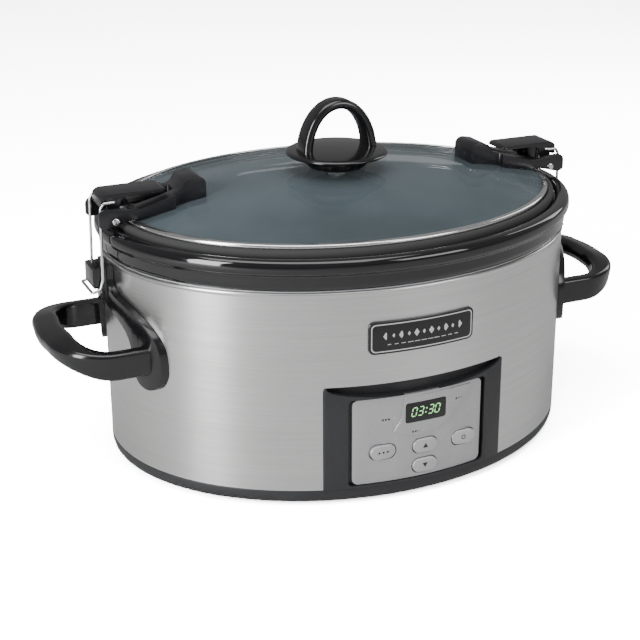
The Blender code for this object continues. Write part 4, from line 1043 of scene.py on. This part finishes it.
@dataclass
class Panel:
    """Dark frame, silver fascia with its raised facet, window, digits, keys and lights."""

    oval: Oval
    keys: dict[str, Mark] = field(default_factory=lambda: {
        "select": Mark.DOTS, "up": Mark.UP, "down": Mark.DOWN, "off": Mark.RING})
    facet_proud: float = 0.0010
    key_gap: float = 0.0006
    scoop_sag: float = 0.0088
    scoop_margin: float = 0.0014
    scoop_depth: float = 0.0062
    time: str = "0330"

    def shell(self, back: float, front: float, low: float, high: float) -> Shape:
        """The space between two insets of the body's outline."""
        return Shape.oval(self.oval, [(back, low, 0), (front, low, 0), (front, high, 0), (back, high, 0)])

    def through(self, outline: Sequence[Corner]) -> Shape:
        """An outline pushed from in front of the panel to behind it."""
        depth = self.oval.half_depth
        return Shape.prism(outline, Run.Y, -depth - 0.02, -0.68 * depth)

    def front_edge(self, limit: float) -> Callable[[bmesh.types.BMEdge], bool]:
        """A test for edges that lie no deeper than an inset of the outline."""
        a, b = self.oval.half_length, self.oval.half_depth
        share = 1.0 - limit / b
        return lambda edge: all(math.hypot(v.co.x / a, v.co.y / b) > share for v in edge.verts)

    def build(self) -> None:
        """Makes every piece of the panel."""
        self.bezel()
        self.fascia()
        self.window()
        for name, mark in self.keys.items():
            self.key(name, mark)
        self.lights()

    def outline(self, node: str, ease: float, grow: float = 0.0) -> list[Corner]:
        """A node's front view as an eased rectangle, grown by a margin."""
        centre = middle(node)
        half_u = (span(node, 0)[1] - span(node, 0)[0]) / 2 + grow
        half_v = (span(node, 2)[1] - span(node, 2)[0]) / 2 + grow
        return boxed(half_u, half_v, ease, (centre.x, centre.z))

    def bezel(self) -> None:
        """The frame with its recess, window and the crescent scoop under the steel's edge."""
        low, high = span("control_bezel", 2)
        half = span("control_bezel", 0)[1]
        frame_piece = self.shell(0.0095, -0.0010, low, high + 0.01)
        frame_piece.clip(self.through(self.outline("control_bezel", 0.0009)))
        recess = self.shell(0.0022, -0.02, low - 0.01, high + 0.01)
        recess.clip(self.through([(u * (1.0 + 0.0022 / abs(u)), v, e)
                                  for u, v, e in self.outline("control_fascia", 0.0030, 0.0006)]))
        frame_piece.cut(recess)
        frame_piece.cut(self.through(self.outline("control_fascia", 0.0030, -0.0012)))
        sag, reach = self.scoop_sag, half - self.scoop_margin
        turns = [math.radians(degrees) for degrees in range(-90, 91, 10)]
        crescent = [(reach * math.sin(turn), high - sag * math.cos(turn) - 0.0005, 0.0)
                    for turn in turns]
        crescent += [(reach, high + 0.002, 0.0), (-reach, high + 0.002, 0.0)]
        scoop = self.shell(self.scoop_depth, -0.02, low - 0.01, high + 0.02)
        scoop.clip(Shape.prism(crescent, Run.Y, -0.20, -0.09))
        frame_piece.cut(scoop)
        frame_piece.eased(0.0005, 2, 40.0, self.front_edge(0.0012))
        frame_piece.piece("panel_frame", RING, "base", ["control_bezel"], sharp=30.0)

    def fascia(self) -> None:
        """The silver plate, holed for window and keys, and its raised facet."""
        low, high = span("control_fascia", 2)
        window = self.outline("display_window", 0.0018, GAP)
        plate = self.shell(0.0019, -0.0001, low - 0.01, high + 0.01)
        plate.clip(self.through(self.outline("control_fascia", 0.0040)))
        for name in self.keys:
            plate.cut(self.through(self.outline("button_" + name, 0.0056, self.key_gap)))
        plate.cut(self.through(window))
        plate.eased(0.0007, 3, 40.0, self.front_edge(0.0006))
        plate.piece("panel_fascia", SILVER, "base", ["control_fascia"], sharp=30.0)
        facet = [
            (-0.0195, 0.0492, 0.0004), (-0.0110, 0.0449, 0.003), (0.0, 0.0436, 0.005),
            (0.0130, 0.0462, 0.005),
            (0.0240, 0.0535, 0.006), (0.0325, 0.0640, 0.005), (0.0380, high - 0.0014, 0.001),
            (-0.0120, high - 0.0014, 0.001), (-0.0148, 0.0560, 0.002),
        ]
        visor = self.shell(0.0003, -0.0001 - self.facet_proud, low, high)
        visor.clip(self.through(facet))
        visor.cut(self.through(window))
        visor.eased(0.0009, 3, 40.0, self.front_edge(-0.0004))
        visor.piece("panel_facet", SILVER, "base", sharp=25.0)

    def window(self) -> None:
        """The dark window and the four slanted digits behind its face."""
        front, back = span("display_window", 1)
        Shape.prism(self.outline("display_window", 0.0017), Run.Y, front, back).eased(
            0.0003, 2, 60.0).piece("display_glass", WINDOW, "base", ["display_window"])
        centre = middle("display_window")
        height, width, bar, slant = 0.0059, 0.0031, 0.00056, 0.22
        lit = {"0": "abcdef", "3": "abcdg"}
        half = height / 2
        strokes = {
            "a": ((0.0, height), (width, height)), "b": ((width, half), (width, height)),
            "c": ((width, 0.0), (width, half)), "d": ((0.0, 0.0), (width, 0.0)),
            "e": ((0.0, 0.0), (0.0, half)), "f": ((0.0, half), (0.0, height)),
            "g": ((0.0, half), (width, half)),
        }
        starts = (-0.0097, -0.0050, 0.0022, 0.0069)
        for index, (digit, start) in enumerate(zip(self.time, starts)):
            shape = Shape()
            for stroke in lit[digit]:
                (u0, v0), (u1, v1) = strokes[stroke]
                shape.add(self.stroke(centre, start, (u0, v0), (u1, v1), bar, slant, front, half))
            shape.piece(f"display_digit_{index + 1}", DIGIT, "base")
        colon = Shape()
        for level in (-0.0014, 0.0014):
            spot = boxed(0.00045, 0.00045, 0.0002, (centre.x + 0.0003 + slant * level, centre.z + level))
            colon.add(Shape.prism(spot, Run.Y, front - 0.00012, front + 0.0002))
        colon.piece("display_colon", DIGIT, "base")

    @staticmethod
    def stroke(centre: Vector, start: float, tail: Edge, tip: Edge, bar: float, slant: float,
               front: float, half: float) -> Shape:
        """One pointed segment of a digit.

        Args:
            centre: The window's centre.
            start: The digit's left side from the centre.
            tail: The segment's first end in the digit's own square frame.
            tip: Its other end.
            bar: The segment's width.
            slant: How far the digit leans per unit of height.
            front: The window's face.
            half: Half of the digit's height.

        Returns:
            The segment, just proud of the window.
        """
        run = Vector((tip[0] - tail[0], tip[1] - tail[1]))
        along, across = run.normalized(), Vector((-run.y, run.x)).normalized()
        first, last = Vector(tail) + along * 0.0003, Vector(tip) - along * 0.0003
        points = [first, first + (along + across) * bar / 2, last + (across - along) * bar / 2, last,
                  last - (along + across) * bar / 2, first + (along - across) * bar / 2]
        outline = [(centre.x + start + p.x + slant * (p.y - half), centre.z + p.y - half, 0.0)
                   for p in points]
        return Shape.prism(outline, Run.Y, front - 0.00012, front + 0.0002)

    def key(self, name: str, mark: Mark) -> None:
        """A stadium-shaped key with an eased rim, and its printed mark."""
        node, body = "button_" + name, name + "_key"
        front, back = span(node, 1)
        centre = middle(node)
        Shape.prism(self.outline(node, 0.0053), Run.Y, front, back, arc=10).eased(
            0.0008, 4, 60.0).piece("key_" + name, KEY, body, [node], sharp=30.0)
        face = (front - 0.00006, front + 0.0004)
        size = 0.0019
        shape = Shape()
        if mark in (Mark.UP, Mark.DOWN):
            turn = 1.0 if mark is Mark.UP else -1.0
            foot, tip = centre.z - turn * size * 0.8, centre.z + turn * size * 0.9
            outline = [(centre.x - size, foot, 0), (centre.x + size, foot, 0), (centre.x, tip, 0)]
            shape.add(Shape.prism(outline, Run.Y, *face))
        elif mark is Mark.DOTS:
            for step in (-1, 0, 1):
                dot = boxed(0.0007, 0.0007, 0.0005, (centre.x + step * 0.0030, centre.z))
                shape.add(Shape.prism(dot, Run.Y, *face))
        else:
            spot = (centre.x, centre.z)
            ring = Shape.prism(boxed(size * 0.8, size * 0.8, size * 0.6, spot), Run.Y, *face)
            ring.cut(Shape.prism(boxed(size * 0.52, size * 0.52, size * 0.4, spot),
                                 Run.Y, face[0] - 0.001, face[1] + 0.001))
            shape.add(ring)
        shape.piece("mark_" + name, MARK, body)

    def lights(self) -> None:
        """Three lens dots with plain bar marks beside them."""
        for name, bars, offset in (("high", 3, -0.0062), ("low", 1, 0.0062), ("warm", 2, -0.0058)):
            node = "indicator_" + name
            centre = middle(node)
            proud = -0.0002 if name == "high" else -0.0001 - self.facet_proud
            face = -self.oval.y_at(centre.x, proud) - 0.0001
            radius = (span(node, 0)[1] - span(node, 0)[0]) / 2
            forward = Matrix.Rotation(math.radians(-90.0), 4, "X")
            lens = Shape.turned([(0.0, 0.0, 0), (radius * 0.75, 0.0001, 0.0002), (radius, 0.0005, 0.0002),
                                 (radius, 0.006, 0), (0.0, 0.006, 0)], closed=False)
            lens.moved(Matrix.Translation((centre.x, face, centre.z)) @ forward).piece(
                "light_" + name, LENS, "base", [node])
            shape = Shape()
            for step in range(3):
                size = 0.00060 if step < bars else 0.00022
                u = centre.x + offset + (step - 1) * 0.0020
                mark_face = -self.oval.y_at(u, proud) - 0.00006
                shape.add(Shape.prism(boxed(0.00060, size, 0.0001, (u, centre.z)), Run.Y,
                                      mark_face, mark_face + 0.0008))
            shape.piece("mark_" + name, MARK, "base")


@dataclass
class NamePlate:
    """The blank plate on the front, with a silver border and a row of lozenges."""

    oval: Oval
    proud: float = 0.0015
    margin: float = 0.0014
    line: float = 0.0007

    def build(self) -> None:
        """Makes the plate, its border and the ornament."""
        low, high = span("nameplate", 2)
        half = span("nameplate", 0)[1]
        centre = (low + high) / 2
        tall = (high - low) / 2
        panel = Panel(self.oval)
        plate = panel.shell(-GAP, -self.proud, low - 0.01, high + 0.01)
        plate.clip(panel.through(boxed(half, tall, 0.0040, (0.0, centre))))
        plate.eased(0.0005, 3, 40.0, panel.front_edge(-self.proud + 0.0004))
        plate.piece("badge_plate", BADGE, "base", ["nameplate"], sharp=30.0)
        border = panel.shell(-self.proud + 0.0003, -self.proud - 0.00007, low - 0.01, high + 0.01)
        inner = self.margin + self.line
        border.clip(panel.through(boxed(half - self.margin, tall - self.margin, 0.0030, (0.0, centre))))
        border.cut(panel.through(boxed(half - inner, tall - inner, 0.0026, (0.0, centre))))
        border.piece("badge_border", TRIM, "base", sharp=30.0)
        ornament = Shape()
        count, pitch = 11, 0.0052
        for step in range(count):
            u = (step - (count - 1) / 2) * pitch
            size = 0.0026 if step % 2 == 0 else 0.0015
            face = -self.oval.y_at(u, -self.proud) - 0.00006
            outline = [(u - size * 0.72, centre + 0.0012, 0), (u, centre + 0.0012 - size, 0),
                       (u + size * 0.72, centre + 0.0012, 0), (u, centre + 0.0012 + size, 0)]
            ornament.add(Shape.prism(outline, Run.Y, face, face + 0.0006))
        for step in range(-5, 6):
            u = step * 0.0046
            face = -self.oval.y_at(u, -self.proud) - 0.00006
            dash = boxed(0.0019, 0.00022, 0, (u, centre - 0.0046))
            ornament.add(Shape.prism(dash, Run.Y, face, face + 0.0006))
        ornament.piece("badge_ornament", TRIM, "base", sharp=30.0)


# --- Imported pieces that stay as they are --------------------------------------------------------
CARRIED = {finish.slot: finish for finish in (
    RIM, STEEL, GLAZE, GLASS, HANDLE, LATCH, RING, SILVER, KEY, RUBBER, BRIGHT, WELL, MICA, BOARD,
    WINDOW, LENS, BADGE)}


def dress_packed_nodes(nodes: dict[str, bpy.types.Object]) -> None:
    """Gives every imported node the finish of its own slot.

    Args:
        nodes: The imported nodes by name.
    """
    for name, node in nodes.items():
        for material_slot in node.material_slots:
            slot = material_slot.material.name.split(".")[0]
            material_slot.material = CARRIED[slot].material()
        log.info("%s keeps its packed shape", name)


# --- Studio -------------------------------------------------------------------------------------
@dataclass
class Softbox:
    """One rectangular lamp that the camera itself doesn't see."""

    name: str
    place: Colour
    aim: Colour
    size: Edge
    power: float

    def build(self) -> None:
        """Adds the lamp."""
        lamp = bpy.data.lights.new(self.name, "AREA")
        lamp.shape = "RECTANGLE"
        lamp.size, lamp.size_y = self.size
        lamp.energy = self.power
        made = bpy.data.objects.new(self.name, lamp)
        made.location = self.place
        run = Vector(self.aim) - Vector(self.place)
        made.rotation_mode = "QUATERNION"
        made.rotation_quaternion = run.to_track_quat("-Z", "Y")
        made.visible_camera = False
        bpy.context.scene.collection.objects.link(made)


@dataclass
class Studio:
    """Pale floor, soft lamps and the camera."""

    floor_radius: float = 14.0
    floor_white: float = 13.0
    floor_bounce: float = 0.50
    sky_seen: float = 20.0
    sky_light: float = 0.30
    azimuth: float = -24.30
    elevation: float = 20.66
    distance: float = 1.021
    lens: float = 80.45
    aim: Colour = (0.0, 0.0, 0.0925)
    shift: Edge = (-0.0259, -0.0352)

    def build(self) -> None:
        """Sets up the whole studio."""
        self.floor()
        self.sky()
        for softbox in self.lamps():
            softbox.build()
        self.camera()

    def lamps(self) -> list[Softbox]:
        """The lamps, whose upright edges draw the bands on the brushed sheet."""
        return [
            Softbox("lamp_top", (-0.2, -0.3, 1.7), (0.0, 0.0, 0.1), (1.6, 1.2), 26.0),
            Softbox("lamp_left_strip", (-1.02, -0.46, 0.45), (0.0, 0.0, 0.10), (0.34, 0.9), 20.0),
            Softbox("lamp_front", (0.75, -1.35, 0.8), (0.0, 0.0, 0.1), (0.8, 0.7), 10.0),
            Softbox("lamp_right", (1.3, 0.3, 0.8), (0.0, 0.0, 0.1), (0.4, 0.9), 4.0),
        ]

    def floor(self) -> None:
        """A pale floor whose white reaches the top of the view."""
        bm = bmesh.new()
        bmesh.ops.create_circle(bm, cap_ends=True, radius=self.floor_radius, segments=64)
        mesh = bpy.data.meshes.new("floor")
        bm.to_mesh(mesh)
        bm.free()
        graph = Graph("floor_white")
        seen = graph.node("ShaderNodeLightPath", {}, {}, "Is Camera Ray")
        white = graph.blend(seen, (self.floor_bounce,) * 3, (self.floor_white,) * 3)
        diffuse = graph.node("ShaderNodeBsdfDiffuse", {}, {"Color": white}, 0)
        output = next(node for node in graph.tree.nodes if node.type == "OUTPUT_MATERIAL")
        graph.tree.links.new(diffuse.socket, output.inputs["Surface"])
        mesh.materials.append(graph.material)
        made = bpy.data.objects.new("floor", mesh)
        bpy.context.scene.collection.objects.link(made)

    def sky(self) -> None:
        """An even white surround, brighter to the eye than as a lamp."""
        world = bpy.data.worlds.new("surround")
        bpy.context.scene.world = world
        world.use_nodes = True
        tree = world.node_tree
        back = tree.nodes["Background"]
        path = tree.nodes.new("ShaderNodeLightPath")
        mix = tree.nodes.new("ShaderNodeMix")
        tree.links.new(path.outputs["Is Camera Ray"], mix.inputs[0])
        mix.inputs[2].default_value = self.sky_light
        mix.inputs[3].default_value = self.sky_seen
        tree.links.new(mix.outputs[0], back.inputs["Strength"])
        back.inputs["Color"].default_value = (1.0, 1.0, 1.0, 1.0)

    def camera(self) -> None:
        """The camera at the front left, above the lid's height."""
        turn, rise = math.radians(self.azimuth), math.radians(self.elevation)
        back = Vector((math.sin(turn) * math.cos(rise), -math.cos(turn) * math.cos(rise), math.sin(rise)))
        data = bpy.data.cameras.new("camera")
        data.lens = self.lens
        data.sensor_width = 36.0
        data.shift_x, data.shift_y = self.shift
        data.clip_start, data.clip_end = 0.01, 60.0
        made = bpy.data.objects.new("camera", data)
        made.location = Vector(self.aim) + back * self.distance
        made.rotation_euler = (-back).to_track_quat("-Z", "Y").to_euler()
        bpy.context.scene.collection.objects.link(made)
        bpy.context.scene.camera = made


def main() -> None:
    """Builds the cooker from the bottom up, then the studio."""
    logging.basicConfig(level=logging.INFO, format="%(message)s")
    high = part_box("base_tray")[1]
    oval = Oval(high.x, high.y)
    dress_packed_nodes(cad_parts)
    Base(oval).build()
    Wrap(oval).build()
    Panel(oval).build()
    NamePlate(oval).build()
    for side in (-1, 1):
        SideHandle(oval, side).build()
    Crock(oval).build()
    Lid(oval).build()
    for side in (-1, 1):
        Latch(oval, side).build()
    Studio().build()


if __name__ == "__main__":
    main()
